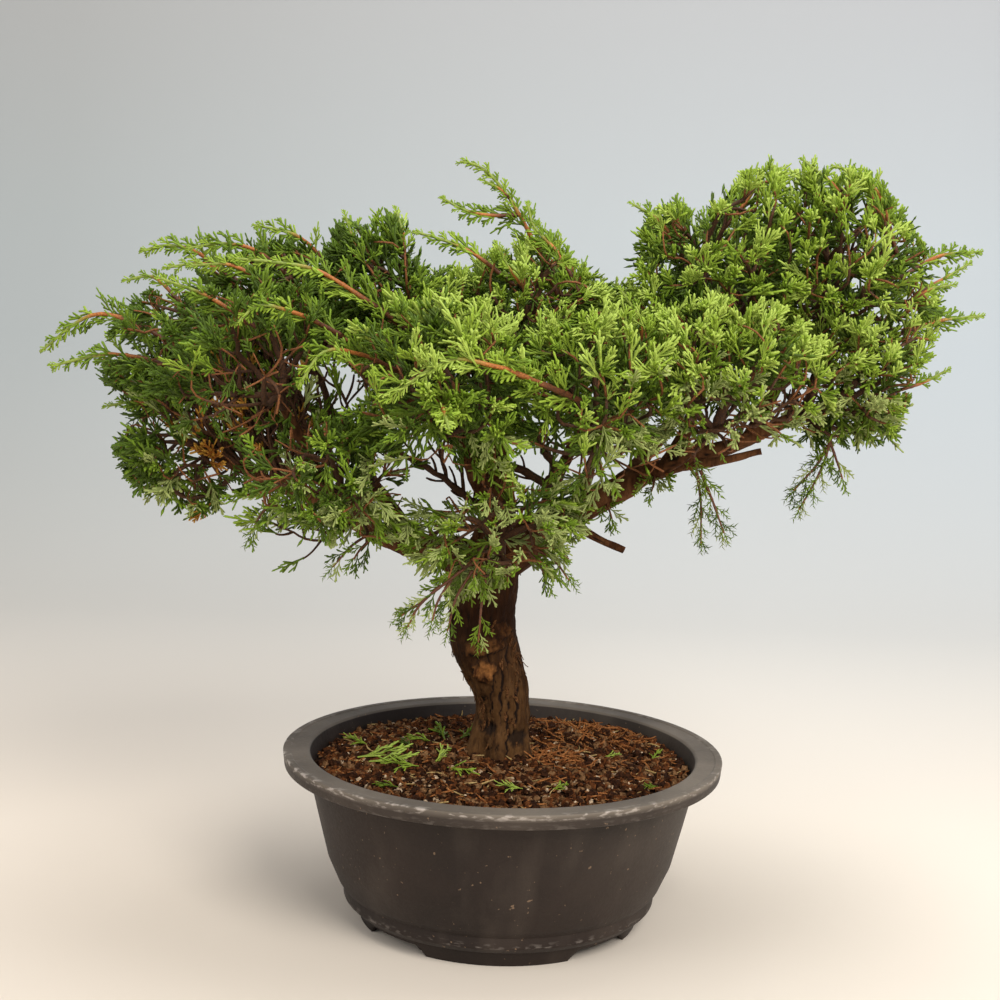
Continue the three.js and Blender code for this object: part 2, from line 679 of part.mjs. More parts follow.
// Grows a mass: its stem goes on from its limb, and each new point joins the twig that makes
// the shortest way back to the stem. Then the sprays are set on the twigs, clear of each other.
function growMass(name, mass, seed) {
  const random = seeded(seed);
  const spread = () => 2 * random() - 1;
  const { tip } = LIMBS[mass.limb];
  const foot = tip.centre.clone().addScaledVector(tip.direction, TOUCH);
  const first = foot.clone().addScaledVector(tip.direction, STEM_LENGTH);
  const joints = [
    { point: foot, way: 0, load: 0, parent: null, children: [1] },
    { point: first, way: STEM_LENGTH, load: 0, parent: 0, children: [] },
  ];

  const join = (point, from) => {
    const costOf = (joint) => joint.point.distanceTo(point) + PATH_COST * joint.way;
    const choices = joints.map((joint, i) => ({ i, joint, cost: costOf(joint) }))
      .filter(({ i }) => i > 0 && (from === undefined || i === from))
      .sort((a, b) => a.cost - b.cost);
    for (const { i, joint } of choices) {
      const length = joint.point.distanceTo(point);
      const own = i === 1 ? mass.limb : null;
      if (length > TWIG_SHORTEST && clearRun(mass, joint.point, point, LIMB_CLEAR, own)) {
        joints.push({ point, way: joint.way + length, load: 0, parent: i, children: [] });
        joint.children.push(joints.length - 1);
        return joints.length - 1;
      }
    }
    return -1;
  };

  // Points spread through a band of the mass's space, at least some way apart
  const scatter = (low, high, count, apart) => {
    const found = [];
    for (let tries = 0; tries < SCATTER_TRIES && found.length < count; tries += 1) {
      const unit = vec(spread(), spread(), spread());
      if (unit.length() > 1 || unit.length() < 0.05) continue;
      const share = low + (high - low) * Math.sqrt(random());
      const offset = unit.normalize().multiplyScalar(share).multiply(vec(...mass.half));
      const point = mass.centre.clone().add(offset);
      const near = apart * (1 - (0.8 * tries) / SCATTER_TRIES);
      if (!insidePlanes(mass, point) || limbDistance(point, null) < 4) continue;
      if (found.some((other) => other.distanceTo(point) < near)) continue;
      found.push(point);
    }
    return found.sort((a, b) => a.distanceTo(first) - b.distanceTo(first));
  };
  const middleSize = (mass.half[0] + mass.half[1] + mass.half[2]) / 3;
  const seats = [];
  const middle = join(mass.centre.clone());
  for (let k = 0; k < mass.sprays; k += 1) {
    const height = 1 - (2 * k + 1) / mass.sprays;
    const round = GOLDEN_ANGLE * k + mass.middle[0];
    const ring = Math.sqrt(1 - height * height);
    const outward = vec(ring * Math.cos(round), ring * Math.sin(round), height);
    const root = outward.clone().multiply(vec(...mass.half))
      .multiplyScalar(mass.core * CORE_ROOT).add(mass.centre);
    const stray = vec(spread(), spread(), spread()).multiplyScalar(CORE_STRAY);
    const direction = outward.clone().add(vec(...mass.sweep)).add(stray).normalize();
    seats.push({ joint: middle, root, back: 0, direction, outward, longest: SPRAY_MAX });
  }
  // Long shoots, with sprays to both sides and one at the tip
  for (const shoot of SHOOTS.filter((item) => item.mass === name)) {
    const run = shoot.run.map((point) => vec(...point));
    let joint = join(run[0]);
    if (joint < 0) continue;
    const curve = new THREE.CatmullRomCurve3([joints[joint].point, ...run.slice(1)]);
    const stops = Math.max(2, Math.round(curve.getLength() / SHOOT_STEP));
    for (let i = 1; i < stops; i += 1) {
      const next = join(curve.getPointAt(i / stops), joint);
      if (next < 0) break;
      joint = next;
      const onward = curve.getTangentAt(i / stops);
      const away = sideways(onward, (i % 2) * Math.PI + random());
      const direction = onward.addScaledVector(away, SHOOT_AWAY).normalize();
      const spray = { outward: SHOOT_FACE, longest: SHOOT_SPRAY, free: true };
      seats.push({ joint, back: SHOOT_BACK, direction, ...spray });
    }
    const last = run.at(-1).clone().sub(joints[joint].point);
    const direction = last.clone().normalize();
    seats.unshift({ joint, back: 0, direction, outward: SHOOT_FACE, longest: last.length(), free: true });
  }

  const carriers = scatter(mass.core + CARRIER_IN, CARRIER_OUT, mass.twigs, middleSize * CARRIER_APART);
  for (const point of carriers) {
    const joint = join(point);
    if (joint < 0) continue;
    const outward = point.clone().sub(mass.centre).divide(vec(...mass.half)).normalize();
    const twig = point.clone().sub(joints[joints[joint].parent].point);
    const onward = outward.clone().add(vec(...mass.sweep))
      .addScaledVector(twig.clone().normalize(), 0.5).normalize();
    seats.push({ joint, back: 0, direction: onward, outward, longest: SPRAY_MAX });
    const back = Math.min(twig.length() * 0.6, SIDE_SPRAY_BACK);
    const away = sideways(onward, random() * Math.PI);
    const direction = onward.clone().addScaledVector(away, SIDE_SPRAY_AWAY).normalize();
    seats.push({ joint, back, direction, outward, longest: SPRAY_MAX });
  }

  // The sprays: each tries a few directions and lengths until it crosses nothing
  const placed = joints.slice(1).map((joint, i) => {
    const from = joints[joint.parent].point;
    const direction = joint.point.clone().sub(from).normalize();
    const side = sideways(direction, 0);
    const ends = [from, joint.point].map((centre) => section(centre, direction, side, TWIG_RADIUS));
    const middle = from.clone().lerp(joint.point, 0.5);
    return { solid: solidOf(skinOf(ends)), middle, size: from.distanceTo(joint.point) / 2, joint: i + 1 };
  });
  const sprays = [];
  for (const seat of seats) {
    const own = joints[seat.joint];
    const ends = own.children.length === 0 && !own.blade && seat.back === 0 && !seat.root;
    const twig = own.point.clone().sub(joints[own.parent].point).normalize();
    const root = seat.root || own.point.clone().addScaledVector(twig, -seat.back);
    const next = (joint) => joint === own.parent || joints[joint].parent === seat.joint;
    const near = (item) => item.joint !== undefined
      && (item.joint === seat.joint || (seat.back <= SHOOT_BACK && next(item.joint)));
    const crosses = (spray, solid) => placed.some((item) => !near(item)
      && item.middle.distanceTo(root) < item.size + spray.length + TWIG_SHORTEST
      && solid.intersect(item.solid).volume() > CROSSING);
    const fitted = (tries, length) => {
      const stray = vec(spread(), spread(), spread()).multiplyScalar(SPRAY_STRAY * tries);
      const direction = seat.direction.clone().add(stray).normalize();
      const side = direction.clone().cross(seat.outward).normalize()
        .applyAxisAngle(direction, SPRAY_ROLL * spread());
      const spray = { root, direction, side, length, hand: random() < 0.5 ? -1 : 1 };
      const blade = sprayBlade(spray);
      const fits = [...blade.outline, blade.top, blade.bottom].every((corner) => insidePlanes(mass, corner)
        && insideReach(corner) && (seat.free || spaceShare(mass, corner) < SPACE_OVER)
        && clearRun(mass, root, corner, LIMB_CLEAR, null));
      if (!fits) return false;
      const solid = solidOf(skinOf([[root]], blade));
      if (crosses(spray, solid)) return false;
      if (ends) own.blade = spray;
      else sprays.push(solid);
      placed.push({ solid, middle: root.clone().addScaledVector(direction, length / 2), size: length * 0.6 });
      for (let at = seat.root ? null : seat.joint; at !== null; at = joints[at].parent) joints[at].load += 1;
      return true;
    };
    let done = false;
    for (let tries = 0; tries < SPRAY_TRIES && !done; tries += 1) {
      const shrink = (seat.longest - SPRAY_MIN) * (tries / SPRAY_TRIES);
      done = fitted(tries, Math.max(Math.min(SPRAY_MIN, seat.longest), seat.longest - shrink));
    }
  }
  return { joints, sprays, random };
}

// Fuses a mass's twigs with its side sprays. Each twig is one run from where it branches off to
// its end, thicker where it carries more sprays, and its last spray goes on from its end.
function massSolid(mass, { joints, sprays, random }) {
  const stemRadius = LIMBS[mass.limb].tip.radius;
  const radiusAt = (joint) => Math.min(stemRadius, TWIG_RADIUS * joint.load ** TWIG_GROWTH);
  const runs = [];
  const follow = (from, next) => {
    const run = [from];
    for (let at = next; at !== undefined;) {
      run.push(at);
      const onward = joints[at].children.filter((child) => joints[child].load > 0)
        .sort((a, b) => joints[b].load - joints[a].load);
      onward.slice(1).forEach((child) => follow(at, child));
      at = joints[at].blade ? undefined : onward[0];
    }
    runs.push(run);
  };
  follow(0, 1);
  const twigs = runs.map((run) => {
    const points = run.map((at) => joints[at].point.clone());
    const radii = run.map((at, i) => radiusAt(joints[i ? at : run[1]]));
    const isStem = run[0] === 0;
    if (!isStem) points[0].lerp(joints[joints[run[0]].parent].point, TWIG_BACK);
    const away = points.slice(1).map((point, i) => point.clone().sub(points[i]).normalize());
    const root = points[0].clone();
    if (!isStem) points[0].addScaledVector(away[0], radiusAt(joints[run[0]]) + TWIG_SINK);
    const { blade } = joints[run.at(-1)];
    if (blade) away.push(blade.direction);
    const directions = points.map((_, i) => away[Math.max(0, i - 1)].clone()
      .add(away[Math.min(away.length - 1, i)]).normalize());
    directions[0] = away[0].clone();
    let side = blade ? blade.side.clone() : sideways(directions.at(-1), random() * Math.PI);
    const rings = [];
    for (let i = points.length - 1; i >= 0; i -= 1) {
      side = side.clone().addScaledVector(directions[i], -side.dot(directions[i])).normalize();
      rings.unshift(section(points[i], directions[i], side, radii[i]));
    }
    if (!isStem) rings.unshift([root]);
    return solidOf(skinOf(rings, blade && sprayBlade(blade)));
  });
  return wasm.Manifold.union([...twigs, ...sprays, coreSolid(mass, random)]);
}

const LEAF_COLOURS = ['#4f7a33', '#5b8a3a', '#456c30', '#668f45'];
Object.entries(MASSES).forEach(([name, mass], i) => {
  const grown = growMass(name, mass, 71 + 13 * i);
  const look = { color: LEAF_COLOURS[i % LEAF_COLOURS.length], roughness: 0.7, metalness: 0 };
  addNode(name, massSolid(mass, grown), look);
});

const bonsai = new THREE.Group();
bonsai.name = 'potted_juniper_bonsai';
nodes.forEach((mesh) => bonsai.add(mesh));

export default bonsai;
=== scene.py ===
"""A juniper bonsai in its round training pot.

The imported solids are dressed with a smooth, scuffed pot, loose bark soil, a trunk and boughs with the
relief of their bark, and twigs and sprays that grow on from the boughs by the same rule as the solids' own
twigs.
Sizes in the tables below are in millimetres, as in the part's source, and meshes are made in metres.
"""

import math
from itertools import combinations

import bpy
import numpy as np
from mathutils import Matrix, Vector, noise


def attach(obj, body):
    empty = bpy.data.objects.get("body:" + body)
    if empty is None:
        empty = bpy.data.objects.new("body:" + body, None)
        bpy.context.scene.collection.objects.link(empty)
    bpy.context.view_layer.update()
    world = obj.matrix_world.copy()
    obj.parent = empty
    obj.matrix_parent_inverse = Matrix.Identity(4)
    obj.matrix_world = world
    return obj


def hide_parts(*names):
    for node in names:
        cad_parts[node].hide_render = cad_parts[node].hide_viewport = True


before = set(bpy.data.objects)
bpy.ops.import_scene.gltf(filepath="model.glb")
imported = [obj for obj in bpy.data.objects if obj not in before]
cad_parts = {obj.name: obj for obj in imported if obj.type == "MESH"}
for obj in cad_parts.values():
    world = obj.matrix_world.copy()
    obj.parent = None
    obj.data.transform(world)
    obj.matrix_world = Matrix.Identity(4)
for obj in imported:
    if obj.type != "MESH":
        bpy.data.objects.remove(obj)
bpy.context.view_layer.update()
MM = 0.001

# Camera: fitted to the pot's ellipses in the photograph
CAMERA_AT = (-0.0070, -0.9757, 0.3774)
CAMERA_DOWN = math.radians(6.39)
CAMERA_ROLL = math.radians(1.87)
CAMERA_FOCAL_PX = 1557.4
PHOTO_PX = 1000
SENSOR = 36.0

# How far the crown reaches to each side, to the front and back, and up
CROWN_SIDE = 296.0
CROWN_DEPTH = 186.0
CROWN_TOP = 485.0

# Pot: its lip, wall and foot, the cuts between its feet, and its wall as (radius, height) from the foot up
POT_RADIUS = 140.0
POT_HEIGHT = 108.4
LIP_HEIGHT = 9.0
LIP_BOTTOM = POT_HEIGHT - LIP_HEIGHT
LIP_TAPER = 1.0
RIM_WIDTH = 17.0
WALL = 3.8
FOOT_RADIUS = 89.0
FOOT_BAND = 15.5
FOOT_WALL = 7.0
FOOT_RECESS = 6.8
FLOOR = 4.0
FEET = 4
FOOT_CUT_HEIGHT = 6.5
FOOT_CUT_LOW = 25.0
FOOT_CUT_TOP = 19.5
WALL_CURVE = [(94.5, 16.5), (103.6, 26), (110.6, 42), (117.2, 68), (124.6, 98)]
POT_TURNS = 240

# Soil: its height at the trunk and at the wall, how far it is flat, its reach, and the steps of its mesh
SOIL_TOP = 103.0
SOIL_EDGE = 98.0
SOIL_FLAT = 34.0
SOIL_RADIUS = 120.3
SOIL_RINGS = 95
SOIL_TURNS = 200

# Limbs: the points that each passes through, as (x, y, z, radius), and the limb that carries it
LIMBS = {
    "trunk": (None, [
        (-1.7, 0, 96, 20.5), (-1.6, 0, 112, 17.5), (-1.5, 0, 140, 16.6), (-9.7, 0, 165, 20),
        (-15.5, 0, 180, 21.6), (-16.5, 0, 196, 21), (-14, 0, 216, 20.2), (-10, 0, 236, 16),
        (-8.3, 0, 252, 12.5), (-9.1, 1, 276, 9.5), (-10, 2, 305, 7), (-5, 5, 335, 5), (2, 8, 360, 4),
    ]),
    "bough_left": ("trunk", [
        (-14, 0, 222, 12), (-32, -2, 231, 10.5), (-56, -5, 237, 8), (-78, -8, 244, 7), (-114, 0, 261, 5.4),
        (-152, 0, 275, 4.4), (-182, 0, 288, 3.4),
    ]),
    "bough_right": ("trunk", [
        (-8, 0, 232, 13), (19, -3, 250, 11), (49, -10, 267, 9), (71, -15, 283, 7.8), (98, -15, 294, 5.6),
        (137, -10, 309, 4.8), (170, -5, 324, 3.8),
    ]),
    "bough_left_tip": ("bough_left", [(-136, 0, 269, 4), (-160, -3, 305, 3.6), (-183, -8, 340, 3)]),
    "bough_left_mid": ("bough_left", [(-108, -1, 259, 4.2), (-122, -22, 290, 3.6), (-138, -42, 324, 3)]),
    "bough_left_front": ("bough_left", [(-66, -7, 240, 4.4), (-78, -26, 250, 3.8), (-90, -44, 262, 3)]),
    "bough_left_back": ("bough_left", [(-56, -4, 237, 4.6), (-86, 34, 268, 4), (-116, 62, 306, 3.2)]),
    "bough_left_top": ("trunk", [
        (-9, 1, 282, 6), (-42, 8, 312, 5), (-86, 16, 340, 4.2), (-122, 20, 366, 3.6), (-134, 20, 384, 3),
    ]),
    "bough_centre_top": ("trunk", [(-10, 2, 296, 5), (-30, 0, 326, 4.2), (-52, 0, 357, 3.4)]),
    "bough_centre_front": ("trunk", [(-8.5, 0, 258, 5.6), (-20, -32, 280, 4.6), (-33, -62, 312, 3.4)]),
    "bough_centre_back": ("trunk", [(-9, 0, 268, 5.6), (-20, 38, 296, 4.6), (-32, 66, 326, 3.4)]),
    "bough_centre_right": ("bough_right", [(34, -6, 258, 4.8), (42, -28, 276, 4), (48, -48, 300, 3.2)]),
    "bough_back_right": ("bough_right", [(16, -2, 248, 5), (30, 34, 280, 4.4), (48, 62, 314, 3.4)]),
    "bough_right_mid": ("bough_right", [(88, -15, 290, 4), (104, -32, 302, 3.6), (114, -46, 314, 3)]),
    "bough_dome_left": ("bough_right", [(96, -15, 293, 4.6), (112, -8, 330, 4.2), (120, -2, 368, 3.6)]),
    "bough_dome_right": ("bough_right", [(148, -9, 313, 4.2), (164, 6, 344, 3.8), (186, 10, 378, 3.4)]),
    "bough_dome_back": ("bough_right", [(70, -15, 283, 5), (98, 28, 314, 4.4), (130, 64, 354, 3.6)]),
    "bough_low_front": ("trunk", [(-13, -4, 222, 5), (-9, -26, 236, 4), (-7, -40, 245, 3.2)]),
    "stub_right_under": ("bough_right", [(104, -15, 296, 3.4), (122, -20, 298, 3), (152, -24, 306, 2)]),
    "stub_low_right": ("bough_right", [(34, -8, 258, 3.6), (48, -22, 252, 2.8), (70, -30, 243, 2)]),
}
TRUNK_FOOT = SOIL_TOP + 0.3
FLARE_HEIGHT = 26.0
FLARE_RIBS = 5
FLARE_DEPTH = 0.16
TRUNK_WAVES = (0.035, 0.025)
TRUNK_SUNK = 2.5
TRUNK_STEP = 1.15
TRUNK_CORNERS = 150
TRUNK_BARK = 1.5
BOUGH_STEP = 1.9
BOUGH_CORNERS = 30
BOUGH_CORNERS_THIN = 18
FLAKES = 420
FLAKES_FROM = 112.0
LIMB_SWELL = 1.06

# Where the trunk's old bark starts to turn into young bark, and over what height it does
YOUNG_FROM = 200.0
YOUNG_OVER = 55.0

# Masses of foliage: limb, middle and half sizes of the space, and the way that it sweeps
MASSES = {
    "foliage_left_tip": ("bough_left_tip", (-217, -12, 364), (62, 58, 44), (-0.6, 0, 0)),
    "foliage_left_low": ("bough_left", (-212, 0, 300), (56, 60, 52), (-0.5, 0, -0.3)),
    "foliage_left_mid": ("bough_left_mid", (-150, -68, 352), (62, 58, 50), (-0.5, -0.2, 0)),
    "foliage_left_front": ("bough_left_front", (-106, -78, 288), (60, 56, 46), (-0.3, -0.3, -0.2)),
    "foliage_left_back": ("bough_left_back", (-146, 92, 342), (66, 58, 54), (-0.4, 0.3, 0)),
    "foliage_left_top": ("bough_left_top", (-158, 24, 406), (66, 58, 40), (-0.5, 0, 0.1)),
    "foliage_centre_top": ("bough_centre_top", (-76, 0, 396), (62, 60, 50), (-0.2, 0, 0.2)),
    "foliage_centre_front": ("bough_centre_front", (-43, -100, 340), (64, 60, 50), (-0.4, -0.3, 0)),
    "foliage_centre_back": ("bough_centre_back", (-45, 108, 360), (64, 58, 52), (0, 0.3, 0)),
    "foliage_apex": ("trunk", (8, 8, 394), (60, 60, 50), (0.1, 0, 0.3)),
    "foliage_centre_right": ("bough_centre_right", (48, -74, 334), (64, 60, 54), (0, -0.3, 0)),
    "foliage_back_right": ("bough_back_right", (60, 98, 352), (62, 58, 52), (0, 0.3, 0)),
    "foliage_right_mid": ("bough_right_mid", (120, -66, 350), (62, 56, 48), (0, -0.3, 0)),
    "foliage_right_low": ("bough_right", (212, -16, 350), (58, 60, 50), (0.3, 0, -0.3)),
    "foliage_dome_left": ("bough_dome_left", (120, -8, 420), (64, 66, 62), (0, 0, 0.4)),
    "foliage_dome_right": ("bough_dome_right", (206, -4, 424), (66, 66, 62), (0.2, 0, 0.4)),
    "foliage_dome_back": ("bough_dome_back", (160, 104, 396), (66, 56, 56), (0.1, 0.3, 0.2)),
    "foliage_low_front": ("bough_low_front", (-6, -74, 254), (56, 44, 46), (0, -0.3, -0.5)),
}

# Long shoots that stand out of each mass, each a run of points from inside it to its tip
SHOOTS = {
    "foliage_left_tip": [
        [(-216, -12, 362), (-236, -12, 372), (-262, -8, 376), (-297, 0, 352)],
        [(-206, -20, 344), (-226, -20, 350), (-250, -22, 352), (-284, -20, 344)],
        [(-206, -10, 384), (-225, -10, 400), (-240, -10, 398)],
    ],
    "foliage_left_top": [
        [(-176, 10, 396), (-202, 6, 417), (-220, 2, 420), (-234, 0, 416)],
        [(-140, -2, 402), (-163, -10, 419), (-180, -14, 422), (-202, -16, 418)],
        [(-118, 22, 404), (-128, 18, 420), (-142, 10, 430), (-164, 0, 434)],
        [(-150, -30, 396), (-172, -36, 408), (-196, -38, 407)],
        [(-170, -12, 398), (-192, -16, 409), (-214, -18, 406)],
    ],
    "foliage_left_low": [
        [(-214, -8, 318), (-234, -10, 323), (-252, -10, 320)],
    ],
    "foliage_centre_top": [
        [(-66, -46, 374), (-88, -62, 389), (-119, -70, 406), (-167, -74, 411)],
        [(-70, -10, 416), (-72, -10, 432), (-76, -8, 444)],
        [(-98, 0, 416), (-104, 0, 430), (-108, 0, 441)],
    ],
    "foliage_left_mid": [
        [(-99, -80, 368), (-123, -96, 380), (-144, -106, 384), (-156, -112, 373)],
        [(-150, -76, 372), (-176, -84, 388), (-204, -86, 398)],
    ],
    "foliage_apex": [
        [(28, 8, 392), (13, 6, 422), (-8, 2, 457), (-26, 0, 474), (-38, 0, 477)],
        [(-6, 2, 455), (-14, 1, 461), (-22, 0, 465)],
        [(1, 4, 446), (-18, 2, 445), (-36, 0, 448), (-48, 0, 454)],
        [(38, -14, 398), (25, -12, 421), (8, -8, 439), (4, -6, 452)],
        [(-2, -20, 402), (-30, -22, 421), (-48, -22, 428), (-64, -22, 432)],
        [(10, -30, 394), (-6, -36, 411), (-13, -38, 424)],
    ],
    "foliage_centre_front": [
        [(36, -104, 337), (13, -130, 347), (-12, -144, 356), (-36, -150, 358), (-71, -150, 335)],
        [(-68, -84, 350), (-88, -104, 359), (-106, -118, 360), (-119, -124, 341)],
        [(-8, -76, 366), (-16, -84, 377), (-25, -88, 383)],
        [(-40, -136, 334), (-38, -158, 332), (-34, -184, 324)],
    ],
    "foliage_centre_right": [
        [(74, -44, 362), (72, -52, 382), (60, -56, 400)],
        [(84, -15, 288), (80, -26, 284), (76, -32, 280)],
        [(88, -15, 290), (87, -27, 286), (85, -33, 280)],
        [(94, -15, 292), (95, -26, 289), (96, -32, 284)],
        [(106, -15, 297), (110, -26, 293), (113, -32, 288)],
        [(56, -12, 272), (60, -24, 268), (62, -28, 262)],
    ],
    "foliage_dome_left": [
        [(124, -10, 440), (140, -10, 462), (148, -10, 478)],
        [(98, -14, 428), (84, -15, 444), (68, -16, 453)],
    ],
    "foliage_dome_right": [
        [(226, -30, 428), (211, -34, 464), (198, -34, 474), (184, -34, 478)],
        [(204, 0, 452), (192, 0, 470), (173, 0, 484)],
        [(240, 10, 416), (266, 22, 430), (294, 30, 434)],
        [(236, -4, 380), (262, -2, 389), (288, 0, 393)],
        [(246, 0, 404), (262, 4, 414), (281, 10, 425)],
        [(238, -6, 398), (254, -8, 408), (266, -8, 411)],
    ],
    "foliage_right_mid": [
        [(107, -54, 306), (112, -54, 280), (114, -52, 252)],
        [(111, -56, 296), (119, -56, 278), (127, -56, 259)],
    ],
    "foliage_right_low": [
        [(192, -36, 318), (186, -38, 297), (174, -40, 273)],
        [(190, -36, 312), (183, -37, 299), (171, -36, 284)],
        [(191, -36, 314), (196, -36, 303), (200, -35, 292)],
        [(240, -6, 346), (254, -3, 351), (268, 0, 358)],
    ],
    "foliage_low_front": [
        [(-26, -76, 236), (-44, -82, 222), (-62, -84, 208)],
        [(-40, -81, 226), (-52, -84, 214), (-58, -86, 202)],
        [(-34, -78, 229), (-41, -84, 217), (-44, -86, 206)],
        [(-14, -74, 230), (-16, -82, 214), (-17, -84, 194)],
        [(-22, -74, 234), (-31, -82, 218), (-35, -84, 200)],
        [(14, -66, 248), (26, -69, 241), (35, -70, 230)],
        [(10, -66, 246), (17, -70, 239), (22, -71, 229)],
    ],
    "foliage_left_front": [
        [(-84, -62, 252), (-94, -66, 245), (-104, -68, 233)],
        [(-82, -62, 250), (-88, -66, 244), (-92, -68, 238)],
        [(-138, -62, 272), (-148, -64, 262), (-153, -64, 251)],
    ],
    "foliage_left_back": [
        [(-140, 130, 350), (-144, 156, 356), (-146, 184, 354)],
    ],
    "foliage_dome_back": [
        [(160, 136, 400), (166, 158, 406), (170, 184, 402)],
    ],
}

# How high and how low the foliage reaches at each x, as seen from the front on the plane y = 0
CROWN_TOPS = [
    (-258, 360), (-247, 376), (-234, 390), (-222, 403), (-192, 411), (-162, 425), (-140, 427), (-122, 418),
    (-108, 441), (-75, 443), (-67, 421), (-59, 410), (-45, 411), (-31, 415), (-12, 427), (17, 436),
    (28, 428), (38, 417), (51, 410), (58, 404), (66, 398), (72, 438), (82, 455), (96, 459),
    (111, 452), (126, 460), (134, 476), (164, 486), (201, 485), (223, 471), (235, 457), (249, 438),
    (258, 420), (266, 384),
]
CROWN_BOTTOMS = [
    (-262, 330), (-254, 298), (-244, 273), (-228, 260), (-193, 252), (-174, 256), (-139, 247), (-117, 238),
    (-76, 236), (-56, 222), (-40, 202), (8, 212), (24, 217), (36, 219), (42, 244), (56, 259),
    (78, 268), (96, 265), (106, 284), (118, 290), (158, 306), (180, 310), (224, 308), (241, 314),
    (248, 339), (254, 361), (266, 384),
]
# Gaps of the crown that the sky shows through, seen in the same way: middle and half sizes
SKY_GAPS = [
    (-112, 337, 13, 15), (-54, 273, 14, 12), (-42, 279, 20, 9), (14, 288, 12, 12), (242, 352, 5, 9),
    (-212, 269, 14, 5), (-168, 260, 14, 5), (176, 341, 9, 6), (-258, 312, 16, 22), (13, 218, 8, 14),
    (-214, 400, 24, 8), (-33, 440, 22, 9), (-245, 357, 14, 9), (-118, 334, 15, 16),
]
# Areas that are thinly leaved, seen in the same way: middle, half sizes, and the share of sprays
# that stay in front of and behind the twigs there
THIN_AREAS = [
    (-158, 336, 39, 34, 0.06, 0.30), (-178, 298, 44, 30, 0.16, 0.22), (-114, 334, 24, 24, 0.12, 0.08),
    (-210, 392, 46, 22, 0.55, 0.30),
    (-52, 280, 33, 22, 0.22, 0.10), (14, 288, 28, 24, 0.55, 0.30), (87, 285, 50, 15, 0.36, 0.45),
    (142, 311, 34, 14, 0.22, 0.30), (174, 338, 18, 22, 0.26, 0.22), (-6, 250, 17, 26, 0.40, 0.25),
    (117, 324, 40, 12, 0.55, 0.60), (10, 232, 13, 28, 0.22, 0.40),
]
THIN_BEHIND = 22.0

# Bare twigs that show between the sprays: radii at the foot and the tip, and a run of points that starts
# inside a limb or another of them
BARE_TWIGS = [
    (1.5, 0.8, [(-176, 0, 285), (-186, -10, 286), (-196, -18, 296), (-206, -22, 310), (-212, -24, 324)]),
    (1.5, 0.8, [(-172, 0, 284), (-180, -14, 296), (-190, -24, 314), (-198, -28, 332)]),
    (1.6, 0.8, [(-164, 0, 280), (-168, -16, 300), (-174, -26, 321), (-178, -30, 342)]),
    (1.6, 0.8, [(-156, 0, 277), (-160, -16, 304), (-165, -24, 327), (-171, -26, 350)]),
    (1.5, 0.8, [(-148, 0, 274), (-152, -14, 312), (-155, -20, 333), (-159, -22, 357)]),
    (1.5, 0.8, [(-140, 0, 271), (-141, -16, 318), (-143, -22, 340), (-146, -24, 360)]),
    (1.4, 0.8, [(-130, 0, 267), (-132, -12, 322), (-133, -18, 343), (-137, -20, 360)]),
    (1.4, 0.7, [(-112, 0, 260), (-104, -18, 300), (-100, -30, 322), (-112, -32, 344), (-119, -34, 356)]),
    (1.3, 0.7, [(-118, 0, 262), (-116, -14, 300), (-121, -20, 333), (-124, -22, 345), (-132, -24, 356)]),
    (2.6, 1.3, [(-10, -2, 262), (-24, -22, 270), (-41, -36, 284), (-58, -50, 295), (-77, -60, 306)]),
    (1.4, 0.8, [(-40, -35, 283), (-44, -38, 301), (-49, -44, 320)]),
    (1.4, 0.8, [(-30, -27, 274), (-31, -30, 295), (-34, -36, 314)]),
    (1.5, 0.8, [(-10, -2, 272), (-14, -12, 284), (-13, -14, 298), (-8, -20, 316)]),
    (1.4, 0.8, [(108, -15, 298), (113, -26, 312), (115, -36, 325), (111, -40, 342)]),
    (1.4, 0.8, [(137, -10, 309), (141, -20, 320), (142, -26, 331), (143, -30, 348)]),
    (1.5, 0.8, [(158, -6, 319), (171, -8, 326), (184, -10, 335), (189, -12, 352)]),
    (1.2, 0.7, [(168, -5, 323), (174, -12, 341), (175, -14, 358)]),
    (1.2, 0.7, [(152, -7, 315), (165, -14, 334), (166, -16, 352)]),
    (1.1, 0.6, [(-88, -40, 260), (-106, -44, 250), (-115, -50, 245), (-131, -56, 251), (-145, -60, 258)]),
    (3.2, 2.4, [(30, -4, 256), (24, -8, 276), (10, -8, 286), (-4, -6, 292)]),
    (2.5, 2.3, [(20, -8, 279), (26, -12, 291), (19, -14, 301)]),
    (1.7, 1.0, [(-171, 0, 282), (-188, -6, 268), (-200, -10, 264), (-215, -14, 272), (-232, -16, 287)]),
]
BARE_SIDE_EVERY = 9.0

# Thin twigs that fan up from the left bough through the hollow there: how many, and where the first
# and the last start and end
FAN_TWIGS = 26
FAN_FEET = ((-122, 0, 264), (-184, 0, 289))
FAN_TIPS = ((-136, -24, 362), (-218, -26, 318))
FAN_ARCH = 14.0

# Tips of the dead sprays, golden brown, that grow on the bare twigs
DEAD_SPRAYS = [
    (-186, -30, 330), (-181, -34, 326), (-196, -28, 312), (-206, -26, 306), (-173, -32, 312),
    (-190, -30, 300), (-160, -30, 356), (-166, -30, 350), (-152, -28, 346), (-176, -30, 296),
    (-214, -26, 316), (-168, -32, 330),
]

# A shoot's stem is bare over its first samples. How near to the bare part a spray may be seen, how far it may
# lie behind it there, how often a nearer one is left out, and how ragged the crown's outline is
SHOOT_SAMPLES = 24
BARE_SAMPLES = 15
SHOOT_CLEAR = 5.0
SHOOT_BEHIND = 3.0
SHOOT_CLEARED = 0.85
OUTLINE_STRAY = 2.5

